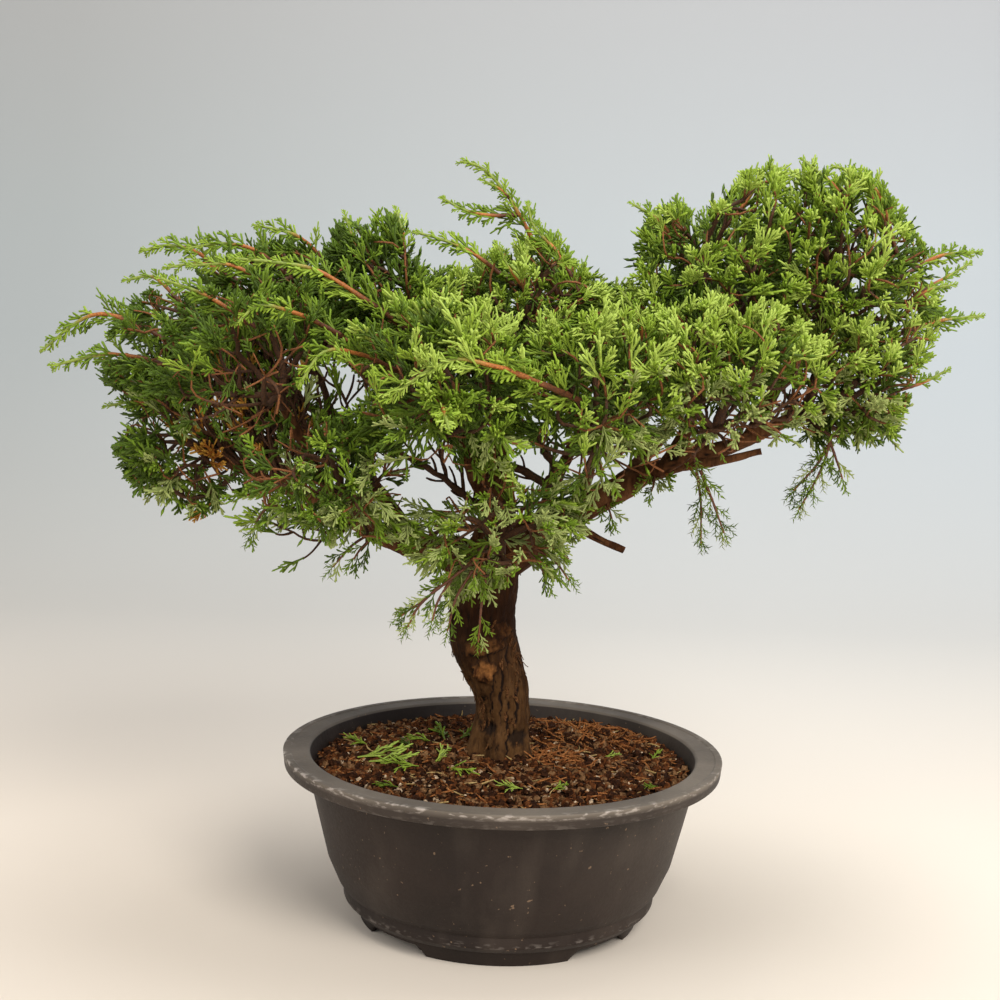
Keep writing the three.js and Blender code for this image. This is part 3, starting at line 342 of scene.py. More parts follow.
# Twigs: the first one's length, what a longer way back to the stem costs, the shortest and the joints tried
# for it, their thickness by load, and how far they stay off the limbs and the planes between masses
STEM_LENGTH = 9.0
PATH_COST = 0.45
TWIG_SHORTEST = 5.0
JOIN_TRIES = 14
TWIG_RADIUS = 0.29
TWIG_GROWTH = 0.44
LIMB_CLEAR = 1.2
CLEAR_STEP = 4.0
SPACE_CLEAR = 0.5

# How many places are tried for the joints of a mass, and how far these stay inside its space, the crown's
# reach and its outline, and off the limbs
SCATTER_TRIES = 9000
JOINT_IN_SPACE = 1.5
JOINT_IN_CROWN = 8.0
JOINT_IN_OUTLINE = 5.0
JOINT_CLEAR = 3.5

UP = np.array([0.0, 0.0, 1.0])
GOLDEN_ANGLE = math.pi * (3 - math.sqrt(5))

# What the plant grows: its sprays, the stems of its long shoots and its bare stems
SPRAYS = []
SHOOT_STEMS = []
BARE_STEMS = []


# Mesh helpers
def unit(v):
    """Vectors of length one, along the last axis."""
    v = np.asarray(v, float)
    return v / np.maximum(np.linalg.norm(v, axis=-1, keepdims=True), 1e-12)


def mesh_from(name, verts_mm, faces, smooth=True):
    """A mesh datablock in metres from corners in millimetres."""
    mesh = bpy.data.meshes.new(name)
    verts = np.asarray(verts_mm, float) * MM
    faces = faces.tolist() if isinstance(faces, np.ndarray) else faces
    mesh.from_pydata(verts.tolist(), [], faces)
    mesh.update()
    if smooth:
        mesh.shade_smooth()
    return mesh


def add_object(name, data):
    """A new object, linked to the scene."""
    made = bpy.data.objects.new(name, data)
    bpy.context.scene.collection.objects.link(made)
    return made


def add_piece(name, mesh, material, replaces=()):
    """Links a finished mesh as a piece that rides on the plant."""
    piece = add_object(name, mesh)
    mesh.materials.clear()
    mesh.materials.append(material)
    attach(piece, "root")
    if replaces:
        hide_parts(*replaces)
    return piece


def set_attribute(mesh, name, values):
    """A number for each corner, which the material reads."""
    layer = mesh.attributes.new(name, "FLOAT", "POINT")
    layer.data.foreach_set("value", np.asarray(values, np.float32))


def field(points, scale, seed=0.0):
    """Smooth noise from -1 to 1 at each point, with features of about the given size."""
    shifted = np.asarray(points, float) / scale + seed * 17.31
    return np.array([noise.noise(Vector(p)) for p in shifted])


def fractal(points, scale, seed=0.0, octaves=3):
    """Noise with finer noise on it."""
    return sum(field(points, scale / 2 ** k, seed + k) / 2 ** k for k in range(octaves))


def wander_of(centres, apart, scale, seed=0):
    """A smooth stray for each centre, with its own noise along x, y and z."""
    return np.stack([field(centres + apart * k, scale, k + seed) for k in range(3)], axis=1)


def hump(value, middle, width):
    """One where a value is at the middle, falling to nothing a few widths away."""
    return np.exp(-((value - middle) / width) ** 2)


def ramp(value, low, high):
    """From 0 at low to 1 at high, and flat outside them."""
    return np.clip((value - low) / (high - low), 0, 1)


def at_stops(stops, way, values):
    """Rows of values at one or more lengths along a way."""
    return np.stack([np.interp(stops, way, column) for column in np.asarray(values).T], axis=-1)


def full_turn(steps):
    """Angles spread evenly round a circle."""
    return np.linspace(0, 2 * math.pi, steps, endpoint=False)


def turned(side, other, angle):
    """A vector turned from one side towards the other."""
    return side * math.cos(angle) + other * math.sin(angle)


def ring_faces(rings, corners, first=0, closed=False):
    """Four-sided faces between rings of corners; closed joins the last ring to the first."""
    ring, corner = np.meshgrid(np.arange(rings if closed else rings - 1), np.arange(corners), indexing="ij")
    here = first + ring * corners
    onward = first + (ring + 1) % rings * corners
    following = (corner + 1) % corners
    quads = (here + corner, here + following, onward + following, onward + corner)
    return np.stack(quads, axis=-1).reshape(-1, 4)


# Limbs
CURVE_STEPS = 40


def smooth_curve(points, samples):
    """Points spread evenly along the centripetal Catmull-Rom curve through the given points.

    With them come the length up to each of them and the length up to each given point.
    """
    pts = np.asarray(points, float)
    ends = np.vstack([2 * pts[0] - pts[1], pts, 2 * pts[-1] - pts[-2]])
    fine = []
    marks = []
    for k in range(len(pts) - 1):
        x0, x1, x2, x3 = ends[k:k + 4]
        d0, d1, d2 = (max(np.dot(b - a, b - a) ** 0.25, 1e-4) for a, b in ((x0, x1), (x1, x2), (x2, x3)))
        t1 = ((x1 - x0) / d0 - (x2 - x0) / (d0 + d1) + (x2 - x1) / d1) * d1
        t2 = ((x2 - x1) / d1 - (x3 - x1) / (d1 + d2) + (x3 - x2) / d2) * d1
        t = np.linspace(0, 1, CURVE_STEPS, endpoint=k == len(pts) - 2)[:, None]
        square = (-3 * x1 + 3 * x2 - 2 * t1 - t2) * t ** 2
        cube = (2 * x1 - 2 * x2 + t1 + t2) * t ** 3
        marks.append(k * CURVE_STEPS)
        fine.append(x1 + t1 * t + square + cube)
    fine = np.vstack(fine)
    marks.append(len(fine) - 1)
    way = np.concatenate([[0], np.cumsum(np.linalg.norm(np.diff(fine, axis=0), axis=1))])
    at = np.linspace(0, way[-1], samples)
    return at_stops(at, way, fine), at, way[marks]


def carried_sides(directions):
    """A vector square to each direction, carried along the curve without twist."""
    first = directions[0]
    helper = UP if abs(first[2]) < 0.9 else np.array([1.0, 0, 0])
    side = unit(np.cross(helper, first))
    sides = []
    for direction in directions:
        side = unit(side - direction * np.dot(side, direction))
        sides.append(side)
    return np.array(sides)


def limb_stations(path, step):
    """Centres, directions, sides, radii and lengths along a limb."""
    path = np.asarray(path, float)
    rough = np.linalg.norm(np.diff(path[:, :3], axis=0), axis=1).sum()
    centres, at, marks = smooth_curve(path[:, :3], max(6, int(rough / step)))
    directions = unit(np.gradient(centres, axis=0))
    return centres, directions, carried_sides(directions), np.interp(at, marks, path[:, 3]), at


def ring_ways(directions, sides, round_steps):
    """The outward vector at each corner of each ring."""
    angle = full_turn(round_steps)
    ups = np.cross(directions, sides)
    return sides[:, None] * np.cos(angle)[None, :, None] + ups[:, None] * np.sin(angle)[None, :, None]


def tube(centres, directions, sides, radii, round_steps, tip=False):
    """Corners and faces of a tube; radii is one number a ring, or one a corner."""
    radii = np.asarray(radii, float)
    radii = radii[:, None] if radii.ndim == 1 else radii
    verts = (centres[:, None] + ring_ways(directions, sides, round_steps) * radii[..., None]).reshape(-1, 3)
    faces = ring_faces(len(centres), round_steps).tolist()
    faces.append(list(range(round_steps))[::-1])
    last = (len(centres) - 1) * round_steps
    if tip:
        verts = np.vstack([verts, centres[-1] + directions[-1] * radii[-1].mean()])
        faces += [[last + k, last + (k + 1) % round_steps, len(verts) - 1] for k in range(round_steps)]
    else:
        faces.append(list(range(last, last + round_steps)))
    return verts, faces


def plain_tube(centres, radii, round_steps, tip=False):
    """A tube along centres, whose sides follow it without twist."""
    directions = unit(np.gradient(centres, axis=0))
    return tube(centres, directions, carried_sides(directions), radii, round_steps, tip)


# Limb segments for the distances that foliage keeps
SEGMENT_STEP = 8


def limb_segments():
    """The limbs' short segments as starts, runs and radii, and each tip's place, direction and radius."""
    starts, runs, radii = [], [], []
    tips = {}
    for name, (_, path) in LIMBS.items():
        centres, directions, _, thick, _ = limb_stations(path, SEGMENT_STEP)
        starts.append(centres[:-1])
        runs.append(np.diff(centres, axis=0))
        radii.append((thick[:-1] + thick[1:]) / 2)
        tips[name] = (centres[-1], directions[-1], thick[-1])
    return np.vstack(starts), np.vstack(runs), np.concatenate(radii), tips


SEG_A, SEG_RUN, SEG_R, TIPS = limb_segments()
SEG_LEN2 = (SEG_RUN ** 2).sum(1)


def limb_gap(points):
    """How far each point lies outside the nearest limb's skin."""
    points = np.atleast_2d(points)
    apart = points[:, None] - SEG_A[None]
    share = np.clip((apart * SEG_RUN[None]).sum(-1) / SEG_LEN2, 0, 1)
    nearest = apart - share[..., None] * SEG_RUN[None]
    return (np.linalg.norm(nearest, axis=-1) - SEG_R * LIMB_SWELL).min(axis=1)


# Marks on the trunk's front: a burr, a healed scar, a cut knot, three stains, a flake and six cracks. Each
# is (x, z, half width, half height, how far it stands out, kind)
TRUNK_MARKS = [
    (-13.0, 162.5, 6.2, 6.0, 3.6, "burr"),
    (-13.6, 177.6, 11.0, 4.4, 3.4, "scar"),
    (-3.1, 187.7, 4.6, 4.8, 2.4, "knot"),
    (-10.5, 124.5, 5.6, 4.4, -0.9, "stain"),
    (9.0, 118.5, 6.5, 5.0, -1.1, "stain"),
    (-13.5, 143.0, 2.4, 1.8, -0.8, "stain"),
    (14.5, 160.0, 2.4, 10.0, 1.4, "flake"),
    (-2.0, 148.0, 0.8, 22.0, -1.3, "crack"),
    (8.5, 140.0, 1.0, 13.0, -1.2, "crack"),
    (2.5, 122.0, 0.9, 18.0, -1.2, "crack"),
    (-8.0, 146.0, 0.6, 12.0, -0.9, "crack"),
    (12.5, 176.0, 0.7, 14.0, -1.0, "crack"),
    (1.0, 172.0, 0.7, 9.0, -0.9, "crack"),
]
MARKS_FRONT = -2.0
FAR_OFF = 300.0


def bark_relief(name, verts, around, along, ring_radius, depth):
    """How far bark stands out at each corner, and how hollow it lies there from 0 to 1, which the material
    paints as shade.
    """
    bark = np.stack([np.cos(around) * ring_radius, np.sin(around) * ring_radius, along], axis=1)
    seed = sum(map(ord, name)) % 97
    bark = bark + field(bark, 14, seed + 9)[:, None] * (2.5, 2.5, 0)
    splits = field(bark * (1, 1, 0.13), 3.6, seed)
    broken = field(bark, 9, seed + 2)
    cracks = hump(splits, 0, 0.05) * np.clip(0.35 + 1.8 * broken, 0, 1)
    plates = field(bark * (1, 1, 0.42), 6.0, seed + 3)
    plate_edges = 1 / (1 + np.exp(-plates * 14))
    fibres = field(bark * (1, 1, 0.16), 1.1, seed + 5)
    lumps = field(bark, 11, seed + 6)
    grain = field(verts, 1.3, seed + 7)
    relief = depth * (0.42 * plate_edges + 0.22 * fibres + 0.12 * grain + 0.5 * lumps - cracks)
    # How hollow the bark lies, in its cracks and between its plates, for the painted shade there
    hollow = np.clip(cracks + 0.16 * (1 - plate_edges) - 0.25 * fibres, 0, 1)
    return relief, hollow


def trunk_marks(verts, hollow):
    """The trunk's own marks: how far each corner moves out, how knotty and stained it is, and how hollow, for
    painted shade.
    """
    push = np.zeros(len(verts))
    knotty = np.zeros(len(verts))
    stained = np.zeros(len(verts))
    front = verts[:, 1] < MARKS_FRONT
    ragged = 0.42 * field(verts, 4.2, 21) + 0.24 * field(verts, 1.7, 22)
    lumpy = field(verts, 2.6, 23)
    heights = verts * (0, 0, 1)
    wavering = 2.6 * field(heights, 7.0, 24) + 0.9 * field(heights, 2.2, 25)
    for x, z, wide, tall, out, kind in TRUNK_MARKS:
        tilt = 0.22 if kind == "scar" else -0.06
        u = (verts[:, 0] - x - (wavering if kind == "crack" else 0)) / wide
        w = (verts[:, 2] - z - tilt * (verts[:, 0] - x)) / tall
        near = np.hypot(u, w) + ragged
        mask = front / (1 + np.exp(np.minimum((near - 1) * 9, FAR_OFF)))
        if kind in ("burr", "knot"):
            push += out * (0.75 * mask * (1 + 0.8 * lumpy) + 0.3 * front * hump(near, 0.75, 0.3))
            woody = 1.0 if kind == "burr" else 0.3
            knotty = np.maximum(knotty, mask * (0.8 + 0.5 * lumpy).clip(0, 1) * woody)
            # A hollow ring round the burr and the knot, painted as shade
            hollow = np.maximum(hollow - 0.6 * mask, 0.7 * front * hump(near, 1.2, 0.12))
        elif kind == "scar":
            push += out * mask * (0.55 - 0.45 * np.tanh(2.2 * w))
            knotty = np.maximum(knotty, 0.3 * mask)
            # A painted shadow under the scar's overhanging lower edge
            under = hump(near, 1.12, 0.12) * np.clip(-2.5 * w, 0, 1)
            hollow = np.maximum(hollow - 0.4 * mask, front * under)
        else:
            push += out * mask
        if kind == "crack":
            # Painted shade in the crack
            hollow = hollow + 0.9 * mask
        if kind == "stain":
            stained = np.maximum(stained, mask)
    return push, knotty, stained, np.clip(hollow, 0, 1)


def limb_looks(name, path, is_trunk):
    """Corners, faces and looks of one limb with its bark."""
    if is_trunk:
        step, round_steps, deepest = TRUNK_STEP, TRUNK_CORNERS, TRUNK_BARK
    else:
        step = BOUGH_STEP
        round_steps = BOUGH_CORNERS if path[0][3] > 9 else BOUGH_CORNERS_THIN
        deepest = min(1.0, 0.16 * path[0][3] + 0.12)
    centres, directions, sides, radii, at = limb_stations(path, step)
    if not is_trunk:
        # a collar where the bough leaves its carrier, and a slight wander along it
        radii = radii * (1 + 0.42 * hump(at, 0, path[0][3] * 2.2))
        wander = np.stack([field(centres + 40 * k, 16, 3 * k + len(name)) for k in range(3)], axis=1)
        fade = np.minimum(at / 20, 1) * np.minimum((at[-1] - at) / 12, 1)
        centres = centres + wander * (fade * radii * 0.3)[:, None]
    around = np.tile(full_turn(round_steps), len(centres))
    along = np.repeat(at, round_steps)
    ring_radius = np.repeat(radii, round_steps)
    rough = np.repeat(centres, round_steps, axis=0)
    out = ring_ways(directions, sides, round_steps).reshape(-1, 3)
    depth = deepest
    swell = 1.0
    if is_trunk:
        low = np.clip(1 - (rough[:, 2] - TRUNK_FOOT) / FLARE_HEIGHT, 0, 1.2)
        share = along / at[-1]
        swell = 1 + FLARE_DEPTH * low * (0.4 + np.cos(FLARE_RIBS * around + 0.6)) \
            + TRUNK_WAVES[0] * np.sin(3 * around + share * 9) \
            + TRUNK_WAVES[1] * np.sin(2 * around - share * 14)
        depth = depth * np.clip(ring_radius / 16, 0.25, 1)
    verts = rough + out * (ring_radius * swell)[:, None]
    relief, hollow = bark_relief(name, verts, around, along, ring_radius, depth)
    knotty = np.zeros(len(verts))
    stained = np.zeros(len(verts))
    if is_trunk:
        push, knotty, stained, hollow = trunk_marks(verts, hollow)
        relief = relief * (1 - 0.6 * knotty) + push
    verts = verts + out * (relief - 0.25 * depth)[:, None]
    if is_trunk:
        verts[:, 2] = np.maximum(verts[:, 2], TRUNK_FOOT - TRUNK_SUNK)
        young = ramp(verts[:, 2], YOUNG_FROM, YOUNG_FROM + YOUNG_OVER)
    else:
        foot_young = ramp(path[0][2], YOUNG_FROM, YOUNG_FROM + YOUNG_OVER)
        young = foot_young + (1 - foot_young) * ramp(along, 10, 50)
    faces = tube(centres, directions, sides, radii, round_steps)[1]
    return verts, faces, {"hollow": hollow, "young": young, "knot": knotty, "stain": stained}


def limb_mesh():
    """Trunk and boughs with their bark as one mesh, and the looks that its material reads."""
    all_verts = []
    all_faces = []
    all_looks = []
    count = 0
    for name, (parent, path) in LIMBS.items():
        verts, faces, looks = limb_looks(name, path, parent is None)
        all_faces += [[corner + count for corner in face] for face in faces]
        all_verts.append(verts)
        all_looks.append(looks)
        count += len(verts)
    mesh = mesh_from("trunk_and_boughs", np.vstack(all_verts), all_faces)
    for key in all_looks[0]:
        set_attribute(mesh, key, np.concatenate([looks[key] for looks in all_looks]))
    return mesh


# Growth of the masses
def reach_of(half, direction):
    """How far a mass's space reaches from its middle in a direction."""
    return 1 / np.linalg.norm(direction / np.asarray(half, float))


def space_planes(name):
    """The planes between a mass and each of the others: the ways towards them, and how far off they lie."""
    _, middle, half, _ = MASSES[name]
    ways = []
    limits = []
    for other, (_, other_middle, other_half, _) in MASSES.items():
        if other == name:
            continue
        apart = np.subtract(other_middle, middle).astype(float)
        distance = np.linalg.norm(apart)
        way = apart / distance
        here = reach_of(half, way)
        there = reach_of(other_half, way)
        ways.append(way)
        limits.append(distance * here / (here + there) - SPACE_CLEAR)
    return np.array(ways), np.array(limits)


SPACES = {name: space_planes(name) for name in MASSES}


def inside_space(name, points, margin=0.0):
    """Whether each point lies on its own mass's side of every plane between masses."""
    ways, limits = SPACES[name]
    offset = np.atleast_2d(points) - np.asarray(MASSES[name][1], float)
    return (offset @ ways.T < limits - margin).all(axis=1)


def inside_crown(points, margin=0.0):
    """Whether each point lies within the crown's reach to the sides, in depth and in height."""
    points = np.atleast_2d(points)
    aside = np.abs(points[:, 0]) < CROWN_SIDE - margin
    deep = np.abs(points[:, 1]) < CROWN_DEPTH - margin
    return aside & deep & (points[:, 2] < CROWN_TOP - margin)


def seen(points):
    """Where points lie on the plane y = 0, as seen from the camera: x and z."""
    points = np.atleast_2d(points)
    eye = np.array(CAMERA_AT) / MM
    share = -eye[1] / (points[:, 1] - eye[1])
    return eye[0] + (points[:, 0] - eye[0]) * share, eye[2] + (points[:, 2] - eye[2]) * share


def within_oval(x, z, oval):
    """Whether places lie within an oval, given as (middle x, middle z, half width, half height)."""
    middle_x, middle_z, wide, tall = oval
    return ((x - middle_x) / wide) ** 2 + ((z - middle_z) / tall) ** 2 < 1


def inside_outline(points, margin=0.0):
    """Whether each point is seen within the crown's outline, and not in one of its gaps."""
    x, z = seen(points)
    tops = np.interp(x, *zip(*CROWN_TOPS), left=0, right=0)
    bottoms = np.interp(x, *zip(*CROWN_BOTTOMS), left=0, right=0)
    inside = (z < tops - margin) & (z > bottoms + margin)
    for gap in SKY_GAPS:
        inside &= ~within_oval(x, z, gap)
    return inside


def bare_lines():
    """Where the bare part of each shoot's stem is seen, as x and z, and how deep it lies."""
    lines = []
    for runs in SHOOTS.values():
        for run in runs:
            centres = smooth_curve(run, SHOOT_SAMPLES)[0][:BARE_SAMPLES]
            lines.append((*seen(centres), centres[:, 1]))
    return lines


BARE_LINES = bare_lines()


def left_out(points, rng):
    """Whether a spray through these points is left out, by a shoot's bare stem or a thinly leaved area."""
    x, z = seen(points)
    for line_x, line_z, line_y in BARE_LINES:
        apart = np.hypot(line_x[:, None] - x, line_z[:, None] - z)
        stem, spray = np.unravel_index(apart.argmin(), apart.shape)
        near = apart[stem, spray] < SHOOT_CLEAR and points[spray, 1] < line_y[stem] + SHOOT_BEHIND
        if near and rng.random() < SHOOT_CLEARED:
            return True
    share = 1.0
    behind = points[:, 1].mean() > THIN_BEHIND
    for *oval, near, far in THIN_AREAS:
        if within_oval(x, z, oval).any():
            share = min(share, far if behind else near)
    return rng.random() > share


class Twigs:
    """A mass's growing twigs: points, each with the point that carries it."""

    def __init__(self, name):
        limb, middle, half, sweep = MASSES[name]
        foot, direction, radius = TIPS[limb]
        self.name = name
        self.middle = np.array(middle, float)
        self.half = np.array(half, float)
        self.sweep = np.array(sweep, float)
        self.stem_radius = radius
        self.bunches = np.zeros((0, 3))
        self.points = [foot, foot + direction * STEM_LENGTH]
        self.parents = [-1, 0]
        self.ways = [0.0, STEM_LENGTH]
        self.loads = [0, 0]

    def share(self, point):
        """How far out in the mass a point lies: 0 at its middle and 1 at the edge of its space."""
        return np.linalg.norm((point - self.middle) / self.half)

    def clear(self, a, b, on_stem):
        """Whether a straight run stays off the limbs; one from the stem may start nearer to its limb."""
        steps = max(3, int(np.linalg.norm(b - a) / CLEAR_STEP))
        samples = a + (b - a) * np.linspace(0, 1, steps + 1)[:, None]
        return bool((limb_gap(samples[2 if on_stem else 1:]) > LIMB_CLEAR).all())

    def join(self, point):
        """Joins a point to the twig that makes the shortest way back to the stem."""
        apart = np.linalg.norm(np.array(self.points[1:]) - point, axis=1)
        cost = apart + PATH_COST * np.array(self.ways[1:])
        for k in np.argsort(cost)[:JOIN_TRIES]:
            joint = int(k) + 1
            if apart[k] < TWIG_SHORTEST or not self.clear(self.points[joint], point, joint == 1):
                continue
            self.points.append(np.asarray(point, float))
            self.parents.append(joint)
            self.ways.append(self.ways[joint] + apart[k])
            self.loads.append(0)
            return len(self.points) - 1
        return -1

    def nearest(self, point):
        """The joint nearest to a point, without the stem's foot."""
        return 1 + int(np.argmin(np.linalg.norm(np.array(self.points[1:]) - point, axis=1)))

    def carry(self, joint, amount=1):
        """Adds to the load of a joint and of all that carry it."""
        while joint >= 0:
            self.loads[joint] += amount
            joint = self.parents[joint]

    def between_bunches(self, point):
        """How near a point lies to the seam between two bunches."""
        apart = np.sort(np.linalg.norm(self.bunches - point, axis=1))
        return (apart[1] - apart[0]) / 2 if len(apart) > 1 else BUNCH_APART

    def bunch_way(self, point):
        """The way that a spray points within its bunch, away from the bunch's middle."""
        if not len(self.bunches):
            return np.zeros(3)
        nearest = self.bunches[np.argmin(np.linalg.norm(self.bunches - point, axis=1))]
        return (point - nearest) / BUNCH_APART

    def direction(self, joint):
        """The way that the twig to a joint runs."""
        return unit(self.points[joint] - self.points[self.parents[joint]])

    def radius(self, joint):
        """How thick the twig is at a joint, by what it carries."""
        return min(self.stem_radius, TWIG_RADIUS * max(self.loads[joint], 1) ** TWIG_GROWTH)


def scatter(name, rng, low, high, count, apart):
    """Points spread through a band of a mass's space, at least some way apart."""
    middle, half = (np.array(part, float) for part in MASSES[name][1:3])
    ways = unit(rng.normal(size=(SCATTER_TRIES, 3)))
    share = (low ** 3 + (high ** 3 - low ** 3) * rng.random(SCATTER_TRIES)) ** (1 / 3)
    points = middle + ways * share[:, None] * half
    points = points[
        inside_space(name, points, JOINT_IN_SPACE) & inside_crown(points, JOINT_IN_CROWN)
        & inside_outline(points, JOINT_IN_OUTLINE)
    ]
    chosen = []
    for point in points[limb_gap(points) > JOINT_CLEAR]:
        if len(chosen) >= count:
            break
        if not chosen or np.linalg.norm(np.array(chosen) - point, axis=1).min() > apart:
            chosen.append(point)
    return chosen


def within_crown(point):
    """Whether a point lies inside the space of any mass."""
    spaces = ((middle, half) for _, middle, half, _ in MASSES.values())
    return any(np.linalg.norm(np.subtract(point, middle) / half) < 1.0 for middle, half in spaces)


def add_spray(root, direction, face, size, kind, tone):
    """Notes a spray: where it roots, the way it points and faces, its size, shape and tone."""
    direction = unit(direction)
    face = np.asarray(face, float)
    face = face - direction * np.dot(face, direction)
    if np.linalg.norm(face) < 1e-3:
        face = np.cross(direction, (0.3, 0.9, 0.2))
    SPRAYS.append((root, direction, unit(face), size, kind, tone))


def tone_of(point, outward, share, rng):
    """The tone of a spray as painted light and shade, from deep to the lightest by where it lies and faces,
    or grey in the low front.
    """
    x, y, z = point
    right = np.clip(x / 60, 0, 1)
    left = ramp(-x, 40, 120)
    high = ramp(z, 350, 390)
    patch = noise.noise(Vector(point / 46.0))
    # How lit the spray is painted: lighter further out, facing up and facing the front, darker deep inside
    # and on the left, with patches of noise
    light = 1.1 * (share - 0.62) + 0.36 * outward[2] - 0.12 * outward[1] + 0.3 * patch
    light -= (0.44 + 0.26 * high) * left
    light += right * (0.12 * high - 0.26 * ramp(z, 415, 455))
    light += 0.07 * np.clip(1 - abs(x - 10) / 60, 0, 1)
    light += rng.normal(0, 0.17)
    low = (305 - z) / 60 + 0.5 * (y < -40) + 0.7 * (x > 40) + rng.normal(0, 0.3)
    if low > (0.55 if x > -80 else 0.85):
        return GREY if light < 0.4 or rng.random() < 0.4 else BRIGHT
    return FRESH_AND_LIT if light > 0.44 else BRIGHT if light > 0.2 else MID if light > -0.06 else DEEP


# Bands of a mass by how far out they lie, for its inner twigs, its bunches and its outer twigs, and how many
# inner twigs and bunches there are and how far apart
INNER_BAND = (0.1, 0.5)
BUNCH_BAND = (0.78, 1.0)
OUTER_BAND = (0.5, 0.97)
CARRIERS_INNER = 22
INNER_APART = 16.0
BUNCH_COUNT = 46
BUNCH_APART = 23.0

# How wide the seam between two bunches is, and from how far out it shows
SEAM = 3.2
SEAM_FROM = 0.55

# How far apart the sprays along a twig are, how far into the next mass one may reach, how far out in its own
# mass it may end, how far off the limbs, and how deep in the crown a twig is an inner one
SIDE_EVERY = 7.0
SPACE_CROSS = 9.0
SPRAY_SKIN = 1.12
SPRAY_CLEAR = 1.0
INNER_DEPTH = 30.0

# Masses with small sprays
FINE_MASSES = (
    "foliage_dome_left", "foliage_dome_right", "foliage_dome_back", "foliage_right_low", "foliage_right_mid",
    "foliage_apex",
)

# Sprays of the fine and of the other masses: how many twigs carry them and how far apart, their lengths at a
# twig's end, in the whorl round it and along its sides, and how far the first two turn up
FINE_STYLE = {
    "carriers": 212, "apart": 8.8, "lead": (15, 22), "whorl": (10, 16), "side": (11, 18),
    "lead_up": 0.45, "whorl_up": 0.25,
}
LOOSE_STYLE = {
    "carriers": 118, "apart": 11.0, "lead": (26, 36), "whorl": (15, 24), "side": (14, 24),
    "lead_up": 0.2, "whorl_up": 0.0,
}
FILL_LENGTHS = (26, 36)

# Lengths of the three sizes of spray, from what length each is used, and a grey spray is a slim one, and the
# kinds of spray by their places in the list of shapes
LARGE = 31.0
SMALL = 18.0
TINY = 10.0
LARGE_FROM = 23.5
SMALL_FROM = 13.0
SLIM_FROM = 15.0
LARGE_KINDS = (0, 1, 2, 3)
SMALL_KINDS = (4, 5, 6, 7)
TINY_KINDS = (8, 9)
NEEDLE_KINDS = (10, 11)
FILL_KINDS = (12, 13)
SLIM_KINDS = (14, 15, 16)

# Tones of the sprays, by their places in the list of tones
DEEP, MID, BRIGHT, FRESH_AND_LIT, GREY, GOLD = range(6)

# How far a spray is shortened until it stays within its space and the crown's outline, and under what share
# of its length it is a tone darker
SPRAY_TRIALS = (1.0, 0.82, 0.66, 0.5, 0.36)
# A spray cut under this share of its length is painted a tone darker, as shade
DARKER_UNDER = 0.6


def kind_for(length, rng):
    """The shape for a spray of some length, and how much it is scaled."""
    for least, kinds, full in ((LARGE_FROM, LARGE_KINDS, LARGE), (SMALL_FROM, SMALL_KINDS, SMALL)):
        if length > least:
            return int(rng.choice(kinds)), length / full
    return int(rng.choice(TINY_KINDS)), length / TINY


def place(twigs, joint, root, way, outward, length, share, rng, fill=False):
    """Sets a spray on a twig, shortened until it stays in its space and the crown's outline."""
    way = unit(way)
    stray = rng.normal(0, OUTLINE_STRAY)
    if left_out(np.array([root + way * length * 0.5, root + way * length]), rng):
        if rng.random() < 0.5:
            twigs.carry(joint)
        return
    for trial in SPRAY_TRIALS:
        reach = length * trial
        end = root + way * reach
        inside = inside_space(twigs.name, end, -SPACE_CROSS)[0] and inside_crown(end)[0]
        if not inside or twigs.share(end) > SPRAY_SKIN:
            continue
        if limb_gap(end)[0] < SPRAY_CLEAR or not inside_outline(end, stray)[0]:
            continue
        if not fill and share > SEAM_FROM and twigs.between_bunches(end) < SEAM and trial > SPRAY_TRIALS[-1]:
            continue
        if not inside_outline(root, -4)[0]:
            return
        kind, size = kind_for(reach, rng)
        if fill:
            kind, size = int(rng.choice(FILL_KINDS)), reach / LARGE
        tone = tone_of(end, outward, share, rng)
        # Inner fill sprays are painted deep, and a spray cut short a tone darker, as shade
        if fill:
            tone = MID if tone == GREY else DEEP
        elif trial < DARKER_UNDER:
            tone = MID if tone == GREY else max(tone - 1, DEEP)
        if tone == GREY and reach > SLIM_FROM:
            kind, size = int(rng.choice(SLIM_KINDS)), reach / LARGE * 1.1
        add_spray(root, way, outward + rng.normal(0, 0.35, 3), size, kind, tone)
        twigs.carry(joint)
        return


def end_sprays(twigs, joint, style, inner, outward, share, rng):
    """Sprays at a twig's end: one that leads, and a whorl round it."""
    point = twigs.points[joint]
    along = twigs.direction(joint)
    lead = outward + 0.9 * twigs.bunch_way(point) + 0.8 * twigs.sweep + style["lead_up"] * UP
    way = unit(0.45 * along + lead + rng.normal(0, 0.12, 3))
    place(twigs, joint, point - along, way, outward, rng.uniform(*style["lead"]), share, rng)
    spin = rng.random() * 2 * math.pi
    side = unit(np.cross(way, (0.3, 0.2, 0.9)))
    whorl = 3 if inner else 4
    for k in range(whorl):
        away = turned(side, np.cross(way, side), spin + k * 2 * math.pi / whorl)
        reach = rng.uniform(*style["whorl"])
        way_off = way + rng.uniform(0.5, 1.0) * away + style["whorl_up"] * UP
        place(twigs, joint, point - along * 2, way_off, outward, reach, share, rng)


